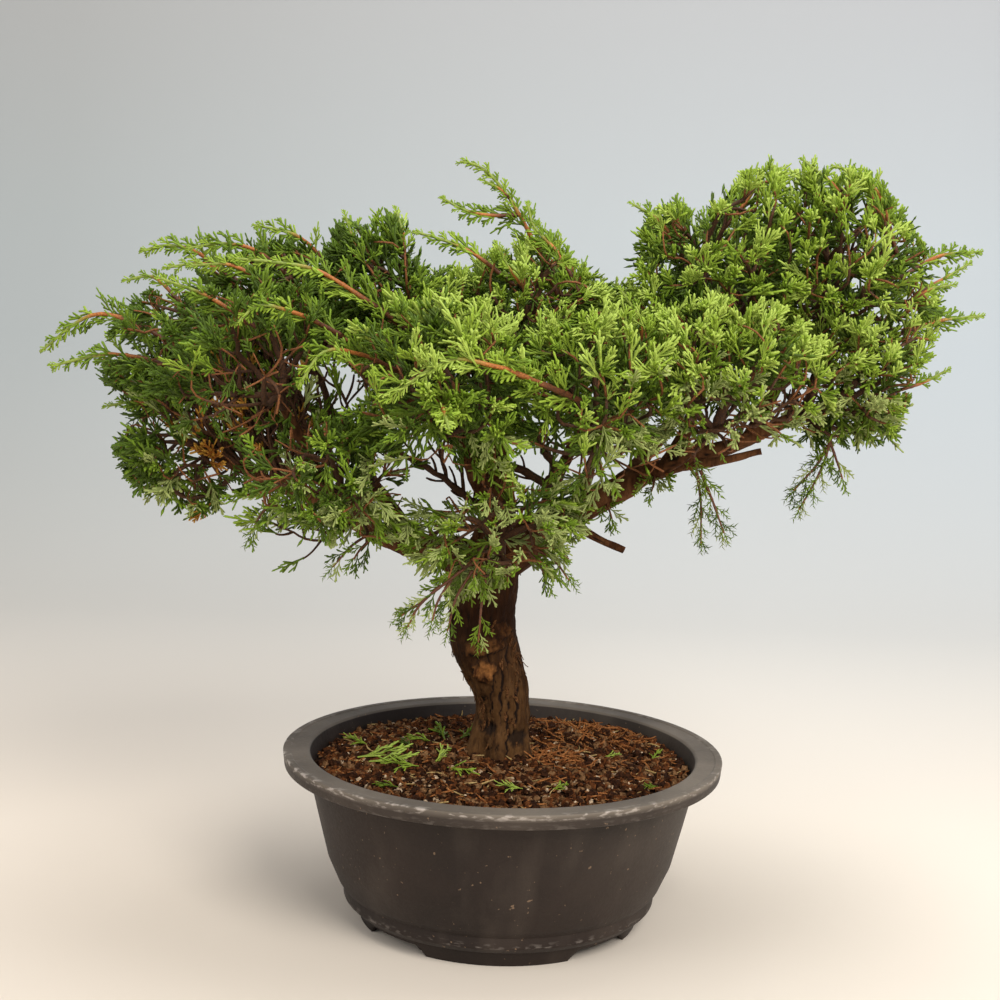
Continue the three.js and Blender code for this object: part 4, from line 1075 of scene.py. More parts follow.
def side_sprays(twigs, joint, style, inner, outward, rng):
    """Sprays along the twig that leads to a joint."""
    point = twigs.points[joint]
    along = twigs.direction(joint)
    start = twigs.points[twigs.parents[joint]]
    side = unit(np.cross(along, outward + rng.normal(0, 0.2, 3)))
    for k, stop in enumerate(np.arange(SIDE_EVERY * 0.8, np.linalg.norm(point - start), SIDE_EVERY)):
        here = start + along * stop
        share = twigs.share(here)
        if share < 0.4 or rng.random() > (0.62 if inner else 0.95):
            continue
        turn = (k % 2) * math.pi + rng.normal(0, 0.6) + GOLDEN_ANGLE * joint
        around = turned(side, np.cross(along, side), turn)
        way = 0.6 * along + 0.7 * around + 0.6 * outward + 0.5 * twigs.sweep + 0.15 * UP
        place(twigs, joint, here, way, outward, rng.uniform(*style["side"]), share, rng)


def grow(name, seed):
    """Grows a mass and notes its sprays."""
    rng = np.random.default_rng(seed)
    twigs = Twigs(name)
    style = FINE_STYLE if name in FINE_MASSES else LOOSE_STYLE
    stem_tip = twigs.points[1]

    def join_all(points):
        """Joins points to the twigs, from the stem's tip outwards."""
        for point in sorted(points, key=lambda p: np.linalg.norm(p - stem_tip)):
            twigs.join(point)

    join_all(scatter(name, rng, *INNER_BAND, CARRIERS_INNER, INNER_APART))
    shoots(name, twigs, rng)
    twigs.bunches = np.array(scatter(name, rng, *BUNCH_BAND, BUNCH_COUNT, BUNCH_APART))
    join_all(scatter(name, rng, *OUTER_BAND, style["carriers"], style["apart"]))
    carried = set(twigs.parents)
    for joint in range(2, len(twigs.points)):
        point = twigs.points[joint]
        share = twigs.share(point)
        outward = unit((point - twigs.middle) / twigs.half ** 2)
        inner = within_crown(point + outward * INNER_DEPTH)
        if share < OUTER_BAND[0]:
            for _ in range(2):
                way = unit(outward + rng.normal(0, 0.7, 3))
                place(twigs, joint, point, way, outward, rng.uniform(*FILL_LENGTHS), share, rng, fill=True)
        elif joint not in carried:
            end_sprays(twigs, joint, style, inner, outward, share, rng)
        side_sprays(twigs, joint, style, inner, outward, rng)
    return twigs


# Shoots: how far apart their side sprays are, from what length these are full, their lengths at the foot and
# the tip, from what length a hanging one is a long one, how near another shoot one starts on it, and the load
# that one adds to its twig
SHOOT_SIDE_EVERY = 3.6
HANGING_SIDE_EVERY = 5.0
FULL_SHOOT = 72.0
SHOOT_SIDE_LONGEST = 18.5
SHOOT_SIDE_SHORTEST = 5.5
HANGING_LONG = 25.0
SHOOT_ON_SHOOT = 4.0
SHOOT_LOAD = 6
SHOOT_FACE = (0.1, -1.0, 0.3)


def shoots(name, twigs, rng):
    """Stems of a mass's long shoots, which start on a limb, another shoot or the nearest twig."""
    for points in SHOOTS.get(name, ()):
        run = np.array(points, float)
        apart = [np.linalg.norm(stem[0] - run[0], axis=1).min() for stem in SHOOT_STEMS]
        on_shoot = min(apart, default=np.inf) < SHOOT_ON_SHOOT
        on_limb = limb_gap(run[0])[0] < 0
        joint = 0 if on_shoot or on_limb else twigs.join(run[0])
        if joint < 0:
            joint = twigs.nearest(run[0])
            run[0] = twigs.points[joint]
        if joint:
            twigs.carry(joint, SHOOT_LOAD)
        centres, at, _ = smooth_curve(run, 30)
        length = at[-1]
        wander = wander_of(centres, 30, 22, len(SHOOT_STEMS))
        centres = centres + wander * 1.4 * (np.minimum(at, length - at) / length)[:, None]
        directions = unit(np.gradient(centres, axis=0))
        hanging = run[0][2] - run[-1][2] > 0.45 * np.linalg.norm(run[-1] - run[0])
        SHOOT_STEMS.append((centres, directions, length, hanging))
        feather(centres, directions, at, run[-1], hanging, rng)


def feather(centres, directions, at, tip, hanging, rng):
    """Sprays along the sides of a shoot, which shorten to its tip, and one at its end."""
    length = at[-1]
    face = unit(SHOOT_FACE)
    every = HANGING_SIDE_EVERY if hanging else SHOOT_SIDE_EVERY
    for k, stop in enumerate(np.arange(2.0, length - 2, every)):
        here = at_stops(stop, at, centres)
        along = unit(at_stops(stop, at, directions))
        left = (length - stop) / length
        if left > 0.55 and rng.random() < 0.4:
            continue
        side = unit(np.cross(along, face)) * (1 if k % 2 else -1)
        side = turned(side, np.cross(along, side), rng.normal(0, 0.4))
        lean = rng.uniform(0.5, 0.9)
        reach = SHOOT_SIDE_SHORTEST + (SHOOT_SIDE_LONGEST - SHOOT_SIDE_SHORTEST) * min(left * 1.15, 1)
        reach *= rng.uniform(0.75, 1.15) * min(1, 0.35 + 0.65 * length / FULL_SHOOT)
        way = unit(along + lean * (0.55 + 0.45 * min(left * 2, 1)) * side)
        if not inside_crown(here + way * reach)[0]:
            reach *= 0.6
        # Shoots that reach out at the front are painted in lighter tones, as light falls there; along other
        # shoots the tips are lighter
        if tip[1] < -100 and tip[0] > -100:
            tone = FRESH_AND_LIT if left < 0.35 else BRIGHT if rng.random() < 0.7 else MID
        else:
            tone = BRIGHT if rng.random() < (0.6 if left < 0.3 else 0.25) else MID
        kind, size = kind_for(reach, rng)
        if hanging:
            tone = int(rng.choice((DEEP, MID, GREY)))
            way = unit(way + 0.25 * directions[-1])
            needled = tip[0] > 60 and length > HANGING_LONG
            kinds, least, more = (NEEDLE_KINDS, 0.6, 0.35) if needled else (SLIM_KINDS, 0.36, 0.2)
            kind, size = int(rng.choice(kinds)), (least + more * left) * rng.uniform(0.8, 1.1)
        add_spray(here, way, face + rng.normal(0, 0.3, 3), size, kind, tone)
    if hanging:
        kind, size = (NEEDLE_KINDS[0], 0.7) if length > HANGING_LONG else (SLIM_KINDS[0], 0.4)
        add_spray(centres[-4], directions[-1], face, size, kind, MID)
    else:
        add_spray(centres[-3], directions[-1], face, 0.7, TINY_KINDS[0], BRIGHT)


def fan_twigs(rng):
    """The thin twigs of the left hollow, as bare twigs are listed."""
    fan = []
    for k in range(FAN_TWIGS):
        share = (k + rng.random()) / FAN_TWIGS
        foot, tip = ((1 - share) * np.array(a) + share * np.array(b) for a, b in (FAN_FEET, FAN_TIPS))
        arch = FAN_ARCH * math.sin(math.pi * share)
        tip = tip + (rng.normal(0, 4), rng.normal(0, 9), arch + rng.normal(0, 5))
        middle = (foot + tip) / 2 + (rng.normal(5, 4), -9 + rng.normal(0, 4), 0)
        fan.append((rng.uniform(0.9, 1.3), 0.55, [foot, middle, tip]))
    return fan


def bare_twigs():
    """The bare twigs with their short side twigs, some of which end in a spray."""
    rng = np.random.default_rng(303)
    face = (0, -1, 0.3)
    for foot, tip, run in BARE_TWIGS + fan_twigs(rng):
        centres, at, _ = smooth_curve(run, 16)
        wander = wander_of(centres, 50, 12)
        wander[0] = 0
        centres = centres + 1.6 * wander
        BARE_STEMS.append((centres, np.linspace(foot, tip, len(centres))))
        directions = unit(np.gradient(centres, axis=0))
        for k, stop in enumerate(np.arange(14, at[-1] - 2, BARE_SIDE_EVERY)):
            here = at_stops(stop, at, centres)
            along = unit(at_stops(stop, at, directions))
            side = unit(np.cross(along, (0.1, -1, 0.2))) * (1 if k % 2 else -1)
            way = unit(along + 0.7 * side + 0.35 * UP + rng.normal(0, 0.2, 3))
            reach = rng.uniform(8, 17)
            share = np.linspace(0, 1, 5)[:, None]
            BARE_STEMS.append((here + way * reach * share + 1.2 * np.sin(math.pi * share) * side,
                               np.linspace(0.9, 0.6, 5)))
            if rng.random() < 0.4:
                kind, size = kind_for(rng.uniform(12, 20), rng)
                tone = GOLD if rng.random() < 0.25 else GREY if rng.random() < 0.3 else MID
                add_spray(here + way * (reach - 1), way + 0.3 * UP, face, size, kind, tone)
        for _ in range(2):
            kind, size = kind_for(rng.uniform(16, 24), rng)
            way = directions[-1] + rng.normal(0, 0.25, 3)
            add_spray(centres[-2], way, face, size, kind, MID if rng.random() < 0.6 else BRIGHT)
    joints = np.vstack([centres for centres, _ in BARE_STEMS])
    for tip in np.array(DEAD_SPRAYS, float):
        below = joints[joints[:, 2] < tip[2] - 8]
        root = below[np.argmin(np.linalg.norm(below - tip, axis=1))]
        way = tip - root
        for k in range(2):
            kind, size = kind_for(np.linalg.norm(way) * (1.0 - 0.25 * k), rng)
            add_spray(root, way + rng.normal(0, 3, 3) * k, face, size, kind, GOLD)


# Spray shapes: x to the side, y off the face, z along the spray. First the radii of their cords, how far the
# branches turn off, from what length one carries two fingers, and how far apart needles are
CORD = 0.78
SLIM_CORD = 0.95
BRANCH_ANGLE = math.radians(40)
FORKED_FROM = 10.5
NEEDLE_EVERY = 1.7
NEEDLE_LENGTH = 4.8
ORIGIN = np.zeros(3)
FLAT_WAY = np.array([0.0, 1.0, 0.0])


def cord_corners(way, radius):
    """The three corners of a cord's ring, from its middle."""
    side = unit(np.cross(way, (0.31, 0.9, 0.17)))
    return [turned(side, np.cross(way, side), 2 * math.pi * corner / 3) * radius for corner in range(3)]


def cord_mesh(parts, root, way, length, radius, bend=(0, 0, 0), shoulder=0.84, foot=0.85):
    """A scale-leaved cord of three sides with a blunt point, appended to parts as verts and faces."""
    way = unit(way)
    bend = np.asarray(bend, float)
    verts, faces = parts
    base = len(verts)
    for share, swell in ((0.0, foot), (shoulder, 1.0)):
        centre = root + way * length * share + bend * length * share ** 2
        verts += [centre + corner for corner in cord_corners(way, radius * swell)]
    verts.append(root + way * length + bend * length)
    for corner in range(3):
        a = base + corner
        b = base + (corner + 1) % 3
        faces += [(a, b, b + 3), (a, b + 3, a + 3), (a + 3, b + 3, base + 6)]


def finger_mesh(parts, root, way, length, radius):
    """A short cord with a blunt end."""
    cord_mesh(parts, root, way, length, radius, shoulder=0.86, foot=0.8)


def slight_finger(parts, root, way, length, radius):
    """A short cord that starts as a point, with fewer faces."""
    way = unit(way)
    verts, faces = parts
    base = len(verts)
    verts.append(root)
    verts += [root + way * length * 0.6 + corner for corner in cord_corners(way, radius)]
    verts.append(root + way * length)
    for corner in range(3):
        a = base + 1 + corner
        b = base + 1 + (corner + 1) % 3
        faces += [(base, b, a), (a, b, base + 4)]


def spray_shape(seed, length, branches, longest, flat):
    """A spray of scale-leaved cords: its axis and branches, and the fingers on them."""
    rng = np.random.default_rng(seed)
    cords, fingers = ([], []), ([], [])
    curl = rng.normal(0, 0.10, 2)

    def axis(share):
        """The middle of the spray's axis at a share of its length."""
        return np.array([curl[0] * share ** 2, curl[1] * share ** 2, share]) * length

    def way_at(share):
        """The way that the axis runs at a share of its length."""
        return unit(axis(share + 0.05) - axis(share - 0.05))

    cord_mesh(cords, axis(0.0), way_at(0.2), length * 0.56, CORD * 1.1, shoulder=0.95)
    cord_mesh(cords, axis(0.5), way_at(0.8), length * 0.5, CORD, shoulder=0.88)
    for k in range(branches):
        share = 0.08 + 0.78 * k / (branches - 1)
        roll = rng.normal(0, 0.5) if flat else rng.uniform(-1.5, 1.5)
        across = np.array([math.cos(roll) * (1 if k % 2 else -1), math.sin(roll), 0])
        along = way_at(share)
        way = unit(turned(along, across, BRANCH_ANGLE * rng.uniform(0.75, 1.2)))
        size = longest * ((1 - share) ** 0.7 + 0.42) * rng.uniform(0.85, 1.15)
        bend = (along - way) * 0.28
        cord_mesh(cords, axis(share), way, size, CORD * 0.95, bend, shoulder=0.88)
        stems = 2 if size > FORKED_FROM else 1
        for m in range(stems):
            at = (m + 0.55) / (stems + 0.45)
            off = unit(np.cross(way, FLAT_WAY)) * (1 if (m + k) % 2 else -1)
            off = turned(off, FLAT_WAY, rng.normal(0, 0.6))
            fork = unit(turned(way, off, math.radians(rng.uniform(24, 40))) + along * 0.3)
            begin = axis(share) + way * size * at + bend * size * at ** 2
            finger_mesh(fingers, begin, fork, rng.uniform(5.4, 8.4), CORD * 0.92)
    for k in range(2):
        turn = 3.1 * k + rng.random()
        off = np.array([math.cos(turn), math.sin(turn) * 0.7, 0])
        finger_mesh(fingers, axis(0.84), way_at(0.9) + 0.5 * off, rng.uniform(4.5, 6.5), CORD * 0.92)
    return cords, fingers


def tiny_shape(seed):
    """A short tuft of fingers."""
    rng = np.random.default_rng(seed)
    cords, fingers = ([], []), ([], [])
    cord_mesh(cords, ORIGIN, UP, TINY, CORD, shoulder=0.86)
    for k in range(5):
        turn = (k % 2) * math.pi + rng.normal(0, 0.5)
        way = (0.7 * math.cos(turn), 0.7 * math.sin(turn), 1)
        reach = rng.uniform(4.4, 6.4) * (1.1 - 0.08 * k)
        finger_mesh(fingers, UP * TINY * (0.08 + 0.16 * k), way, reach, CORD * 0.92)
    return cords, fingers


def fill_shape():
    """An old inner spray: a few long thick cords that spread wide."""
    cords, fingers = ([], []), ([], [])
    cord_mesh(cords, ORIGIN, UP, LARGE * 0.9, CORD, shoulder=0.9)
    for k in range(9):
        turn = GOLDEN_ANGLE * k
        off = np.array([math.cos(turn), math.sin(turn), 0])
        root = UP * LARGE * (0.06 + 0.085 * k)
        cord_mesh(cords, root, UP + off, LARGE * (0.5 - 0.035 * k), CORD * 1.15)
        slight_finger(fingers, root + UP * 3.0 + off * 5.0, UP + 0.5 * off, 9.0, CORD * 1.3)
    return cords, fingers


def slim_shape(seed):
    """An old loose spray: long straight cords that lie close along it."""
    rng = np.random.default_rng(seed)
    cords, fingers = ([], []), ([], [])
    cord_mesh(cords, ORIGIN, UP, LARGE, SLIM_CORD, bend=(rng.normal(0, 0.07), 0, 0))
    for k in range(6):
        share = 0.08 + 0.14 * k
        roll = rng.normal(0, 0.6)
        across = np.array([math.cos(roll) * (1 if k % 2 else -1), math.sin(roll), 0])
        way = turned(UP, across, math.radians(rng.uniform(20, 36)))
        size = LARGE * rng.uniform(0.38, 0.5) * (1.05 - 0.5 * share)
        root = UP * LARGE * share
        cord_mesh(cords, root, way, size, SLIM_CORD * 0.92)
        for stop in (0.3, 0.55):
            off = unit(np.cross(way, FLAT_WAY)) * rng.choice((-1, 1)) + (0, rng.normal(0, 0.4), 0)
            fork = way + 0.5 * off + 0.3 * UP
            finger_mesh(fingers, root + way * size * stop, fork, rng.uniform(6, 9), SLIM_CORD * 0.9)
    return cords, fingers


def needle_shape(seed):
    """A young spray with short sharp needles instead of scales."""
    rng = np.random.default_rng(seed)
    cords, needles = ([], []), ([], [])
    verts, faces = needles
    stems = [(ORIGIN, UP, SMALL)]
    for k in range(2):
        way = unit((0.7 * (1 if k else -1), rng.normal(0, 0.2), 0.75))
        stems.append((UP * SMALL * (0.2 + 0.25 * k), way, SMALL * 0.45))
    for root, way, size in stems:
        cord_mesh(cords, root, way, size, CORD * 0.6)
        side = unit(np.cross(way, FLAT_WAY))
        count = int(size / NEEDLE_EVERY)
        for k in range(count):
            off = turned(side, np.cross(way, side), math.pi * (k % 2) + rng.normal(0, 0.6))
            start = root + way * size * (k + 0.6) / count
            aim = unit(way * 0.8 + off * 0.75)
            across = unit(np.cross(aim, off)) * 0.8
            base = len(verts)
            verts += [start - across, start + across, start + off * 0.9, start + aim * NEEDLE_LENGTH]
            faces += [(base, base + 1, base + 3), (base + 1, base + 2, base + 3), (base + 2, base, base + 3)]
    return cords, needles


SHAPES = [spray_shape(11 + 7 * k, LARGE, 9, LARGE * 0.36, k % 2) for k in range(4)]
SHAPES += [spray_shape(51 + 7 * k, SMALL, 5, SMALL * 0.42, k % 2) for k in range(4)]
SHAPES += [tiny_shape(81 + k) for k in range(2)]
SHAPES += [needle_shape(5 + k) for k in range(2)]
SHAPES += [fill_shape()] * len(FILL_KINDS)
SHAPES += [slim_shape(31 + k) for k in range(3)]


# Geometry Nodes: sprays and soil pieces set on points
def in_use(sockets, name):
    """The socket in use that has a name."""
    return next(socket for socket in sockets if socket.name == name and socket.enabled)


def add_node(tree, kind, feeds=None, **settings):
    """A node with its settings, whose inputs are set to values or linked to other nodes' outputs."""
    node = tree.nodes.new(kind)
    for key, value in settings.items():
        setattr(node, key, value)
    for key, value in (feeds or {}).items():
        socket = node.inputs[key] if isinstance(key, int) else in_use(node.inputs, key)
        if isinstance(value, bpy.types.NodeSocket):
            tree.links.new(value, socket)
        else:
            socket.default_value = value
    return node


def scatter_tree(name, shapes, material):
    """A tree that sets one of the shapes on each point, by the point's own turn, size and kind."""
    tree = bpy.data.node_groups.new(name, "GeometryNodeTree")
    tree.interface.new_socket("Geometry", in_out="INPUT", socket_type="NodeSocketGeometry")
    inputs = {}
    for label, kind, value in (("Size", "Float", 1.0), ("Size stray", "Float", 0.05), ("Seed", "Int", 7)):
        socket = tree.interface.new_socket(label, in_out="INPUT", socket_type="NodeSocket" + kind)
        socket.default_value = value
        inputs[label] = socket.identifier
    tree.interface.new_socket("Geometry", in_out="OUTPUT", socket_type="NodeSocketGeometry")

    def maths(operation, a, b):
        """The result of an operation on two numbers."""
        return add_node(tree, "ShaderNodeMath", {0: a, 1: b}, operation=operation).outputs[0]

    def attribute(key, kind):
        """What each point carries under a name."""
        node = add_node(tree, "GeometryNodeInputNamedAttribute", {"Name": key}, data_type=kind)
        return in_use(node.outputs, "Attribute")

    enter = add_node(tree, "NodeGroupInput").outputs
    join = add_node(tree, "GeometryNodeJoinGeometry")
    for shape in reversed(shapes):
        info = add_node(tree, "GeometryNodeObjectInfo", {"Object": shape, "As Instance": True})
        tree.links.new(info.outputs["Geometry"], join.inputs[0])
    stray = enter["Size stray"]
    varied = add_node(tree, "FunctionNodeRandomValue", {
        "Min": maths("SUBTRACT", 1.0, stray), "Max": maths("ADD", 1.0, stray), "Seed": enter["Seed"],
    }, data_type="FLOAT")
    size = maths("MULTIPLY", attribute("size", "FLOAT"), enter["Size"])
    placed = add_node(tree, "GeometryNodeInstanceOnPoints", {
        "Points": enter["Geometry"],
        "Instance": join.outputs[0],
        "Pick Instance": True,
        "Instance Index": attribute("kind", "INT"),
        "Rotation": attribute("turn", "QUATERNION"),
        "Scale": maths("MULTIPLY", size, in_use(varied.outputs, "Value")),
    })
    realized = add_node(tree, "GeometryNodeRealizeInstances", {"Geometry": placed.outputs["Instances"]})
    painted = add_node(tree, "GeometryNodeSetMaterial", {
        "Geometry": realized.outputs["Geometry"], "Material": material,
    })
    add_node(tree, "NodeGroupOutput", {"Geometry": painted.outputs["Geometry"]})
    return tree, inputs


def scattered(name, shapes, places, material, stray=0.05, seed=7, smooth=False):
    """Sets shapes on places, each (root mm, side, face, way, size, kind), as one plain mesh piece."""
    shape_objects = [add_object(f"{name}_shape_{k}", mesh) for k, mesh in enumerate(shapes)]
    roots = np.array([place[0] for place in places], float) * MM
    points = bpy.data.meshes.new(name + "_points")
    points.from_pydata(roots.tolist(), [], [])
    turns = [tuple(Matrix(place[1:4]).transposed().to_quaternion()) for place in places]
    for key, kind, values in (
        ("turn", "QUATERNION", np.array(turns, np.float32).ravel()),
        ("size", "FLOAT", np.array([place[4] for place in places], np.float32)),
        ("kind", "INT", np.array([place[5] for place in places], np.int32)),
    ):
        points.attributes.new(key, kind, "POINT").data.foreach_set("value", values)
    holder = add_object(name + "_holder", points)
    tree, inputs = scatter_tree(name + "_tree", shape_objects, material)
    modifier = holder.modifiers.new("scatter", "NODES")
    modifier.node_group = tree
    modifier[inputs["Size"]] = 1.0
    modifier[inputs["Size stray"]] = stray
    modifier[inputs["Seed"]] = seed
    bpy.context.view_layer.update()
    graph = bpy.context.evaluated_depsgraph_get()
    mesh = bpy.data.meshes.new_from_object(holder.evaluated_get(graph))
    mesh.name = name
    for used in (holder, *shape_objects):
        bpy.data.objects.remove(used)
    for key in ("turn", "size", "kind"):
        if key in mesh.attributes:
            mesh.attributes.remove(mesh.attributes[key])
    if smooth:
        mesh.shade_smooth()
    return add_piece(name, mesh, material)


# Shared shader effects
def grain_group():
    """Fine noise on object coordinates: a value from 0 to 1 and a bumped normal."""
    tree = bpy.data.node_groups.new("grain", "ShaderNodeTree")
    for label, kind, value in (
        ("Scale", "Float", 900.0), ("Stretch", "Vector", (1, 1, 1)), ("Depth", "Float", 0.2),
        ("Distance", "Float", 0.0004),
    ):
        socket = tree.interface.new_socket(label, in_out="INPUT", socket_type="NodeSocket" + kind)
        socket.default_value = value
    tree.interface.new_socket("Value", in_out="OUTPUT", socket_type="NodeSocketFloat")
    tree.interface.new_socket("Normal", in_out="OUTPUT", socket_type="NodeSocketVector")
    enter = add_node(tree, "NodeGroupInput").outputs
    place = add_node(tree, "ShaderNodeTexCoord")
    stretched = add_node(tree, "ShaderNodeVectorMath", {0: place.outputs["Object"], 1: enter["Stretch"]},
                         operation="MULTIPLY")
    speckle = add_node(tree, "ShaderNodeTexNoise", {
        "Vector": stretched.outputs["Vector"], "Scale": enter["Scale"], "Detail": 4, "Roughness": 0.6,
    }).outputs["Fac"]
    bump = add_node(tree, "ShaderNodeBump", {
        "Height": speckle, "Strength": enter["Depth"], "Distance": enter["Distance"],
    })
    add_node(tree, "NodeGroupOutput", {"Value": speckle, "Normal": bump.outputs["Normal"]})
    return tree


GRAIN = grain_group()


class Material:
    """A Principled material with helpers for the nodes that feed it."""

    def __init__(self, name, colour, roughness, gloss=None):
        self.material = bpy.data.materials.new(name)
        self.material.use_nodes = True
        self.tree = self.material.node_tree
        self.inputs = self.tree.nodes["Principled BSDF"].inputs
        self.inputs["Base Color"].default_value = (*colour, 1)
        self.inputs["Roughness"].default_value = roughness
        if gloss is not None:
            self.inputs["Specular IOR Level"].default_value = gloss

    def add(self, kind, output, feeds=None, **settings):
        """A new node's output."""
        return in_use(add_node(self.tree, kind, feeds, **settings).outputs, output)

    def grain(self, scale, depth, distance=0.0004, stretch=(1, 1, 1)):
        """Bumps the surface with fine noise, and gives its value."""
        outputs = add_node(self.tree, "ShaderNodeGroup", {
            "Scale": scale, "Depth": depth, "Distance": distance, "Stretch": stretch,
        }, node_tree=GRAIN).outputs
        self.tree.links.new(outputs["Normal"], self.inputs["Normal"])
        return outputs["Value"]

    def attribute(self, name):
        """A number that the mesh carries for each corner."""
        return self.add("ShaderNodeAttribute", "Fac", attribute_name=name)

    def along(self, axis):
        """How far along X, Y or Z a point of the object lies, in metres."""
        place = self.add("ShaderNodeTexCoord", "Object")
        return self.add("ShaderNodeSeparateXYZ", axis, {"Vector": place})

    def noise(self, scale, detail=3, stretch=(1, 1, 1)):
        """Noise from 0 to 1, stretched along the axes."""
        place = self.add("ShaderNodeTexCoord", "Object")
        mapped = self.add("ShaderNodeMapping", "Vector", {"Vector": place, "Scale": stretch})
        return self.add("ShaderNodeTexNoise", "Fac", {"Vector": mapped, "Scale": scale, "Detail": detail})

    def times(self, a, b):
        """The product of two numbers."""
        return self.add("ShaderNodeMath", "Value", {0: a, 1: b}, operation="MULTIPLY")

    def spread(self, value, low, high, out_low=0.0, out_high=1.0):
        """A value's range from low to high, spread over another range and flat outside it."""
        return self.add("ShaderNodeMapRange", "Result", {
            "Value": value, "From Min": low, "From Max": high, "To Min": out_low, "To Max": out_high,
        })

    def mix(self, factor, a, b):
        """A colour between two others, which are plain ones or come from other nodes."""
        a, b = ((*colour, 1) if isinstance(colour, tuple) else colour for colour in (a, b))
        return self.add("ShaderNodeMix", "Result", {"Factor": factor, "A": a, "B": b}, data_type="RGBA")

    def colour(self, socket):
        """Feeds the base colour."""
        self.tree.links.new(socket, self.inputs["Base Color"])

    def roughness(self, socket):
        """Feeds the roughness."""
        self.tree.links.new(socket, self.inputs["Roughness"])


def leaf_material(name, colour, roughness):
    """Scale leaves: one plain colour, with a fine grain in its gloss and normal."""
    made = Material(name, colour, roughness, 0.22)
    value = made.grain(1500, 0.25, 0.00025)
    made.roughness(made.spread(value, 0.3, 0.7, roughness - 0.1, roughness + 0.14))
    return made.material


def bark_material():
    """Bark by its relief: painted shade in its cracks and on the upper trunk, red-brown on young wood, orange
    on the burr.
    """
    made = Material("bark", (0.1, 0.05, 0.03), 0.85, 0.12)
    fine = made.grain(700, 0.9, 0.0010, (1, 1, 0.25))
    patches = made.spread(made.noise(70, 4, (1, 1, 0.4)), 0.35, 0.65)
    streaks = made.noise(420, 4, (1, 1, 0.12))
    mottle = made.noise(230, 6, (1, 1, 0.4))
    # Up the trunk from about 150 mm the bark turns a darker red-brown, darkened further as painted shade
    # under the sprays
    height = made.spread(made.along("Z"), 0.150, 0.192)
    age = made.attribute("young")
    low = made.mix(patches, (0.036, 0.0140, 0.0035), (0.102, 0.0470, 0.0155))
    high = made.mix(patches, (0.0088, 0.0024, 0.0007), (0.029, 0.0096, 0.0028))
    young = made.mix(patches, (0.052, 0.0170, 0.0055), (0.158, 0.065, 0.026))
    body = made.mix(age, made.mix(height, low, high), young)
    # The pale streaks darken up the trunk too, the same painted shade
    pale = made.mix(height, (0.128, 0.064, 0.025), (0.046, 0.018, 0.006))
    pale = made.mix(age, pale, (0.150, 0.068, 0.028))
    body = made.mix(made.spread(streaks, 0.5, 0.72, 0.0, 0.3), body, pale)
    body = made.mix(made.spread(mottle, 0.52, 0.66, 0.0, 0.45), body, pale)
    body = made.mix(made.spread(mottle, 0.46, 0.34, 0.0, 0.55), body, (0.020, 0.008, 0.003))
    body = made.mix(made.spread(streaks, 0.48, 0.3, 0.0, 0.55), body, (0.022, 0.009, 0.004))
    wood = made.mix(made.spread(mottle, 0.42, 0.58), (0.050, 0.016, 0.005), (0.270, 0.110, 0.032))
    body = made.mix(made.attribute("knot"), body, wood)
    # Painted shade in the cracks and hollows, round the burr and knot, and under the scar
    body = made.mix(made.spread(made.attribute("hollow"), 0.2, 0.85), body, (0.012, 0.006, 0.004))
    body = made.mix(made.spread(made.attribute("stain"), 0.1, 0.9, 0.0, 0.85), body, (0.012, 0.007, 0.005))
    made.colour(body)
    made.roughness(made.spread(fine, 0.3, 0.7, 0.75, 0.98))
    return made.material


def twig_material(name, dark, light):
    """A twig's thin bark, from dark to light by its grain."""
    made = Material(name, dark, 0.8)
    fine = made.grain(1100, 0.6, 0.0005)
    made.colour(made.mix(made.spread(fine, 0.36, 0.66), dark, light))
    made.roughness(made.spread(fine, 0.3, 0.7, 0.65, 0.95))
    return made.material


def shoot_material():
    """A shoot's stem: red-brown where it is oldest, then orange, then green to its tip."""
    made = Material("shoot_stem", (0.2, 0.08, 0.02), 0.6)
    fine = made.grain(900, 0.5, 0.0004)
    speckle = made.spread(fine, 0.36, 0.66)
    age = made.attribute("age")
    brown = made.mix(speckle, (0.050, 0.013, 0.004), (0.150, 0.044, 0.010))
    orange = made.mix(speckle, (0.250, 0.066, 0.009), (0.520, 0.180, 0.032))
    green = made.mix(speckle, (0.150, 0.210, 0.024), (0.280, 0.340, 0.052))
    body = made.mix(made.spread(age, 0.24, 0.42), brown, orange)
    made.colour(made.mix(made.spread(age, 0.52, 0.68), body, green))
    made.roughness(made.spread(fine, 0.3, 0.7, 0.45, 0.75))
    return made.material


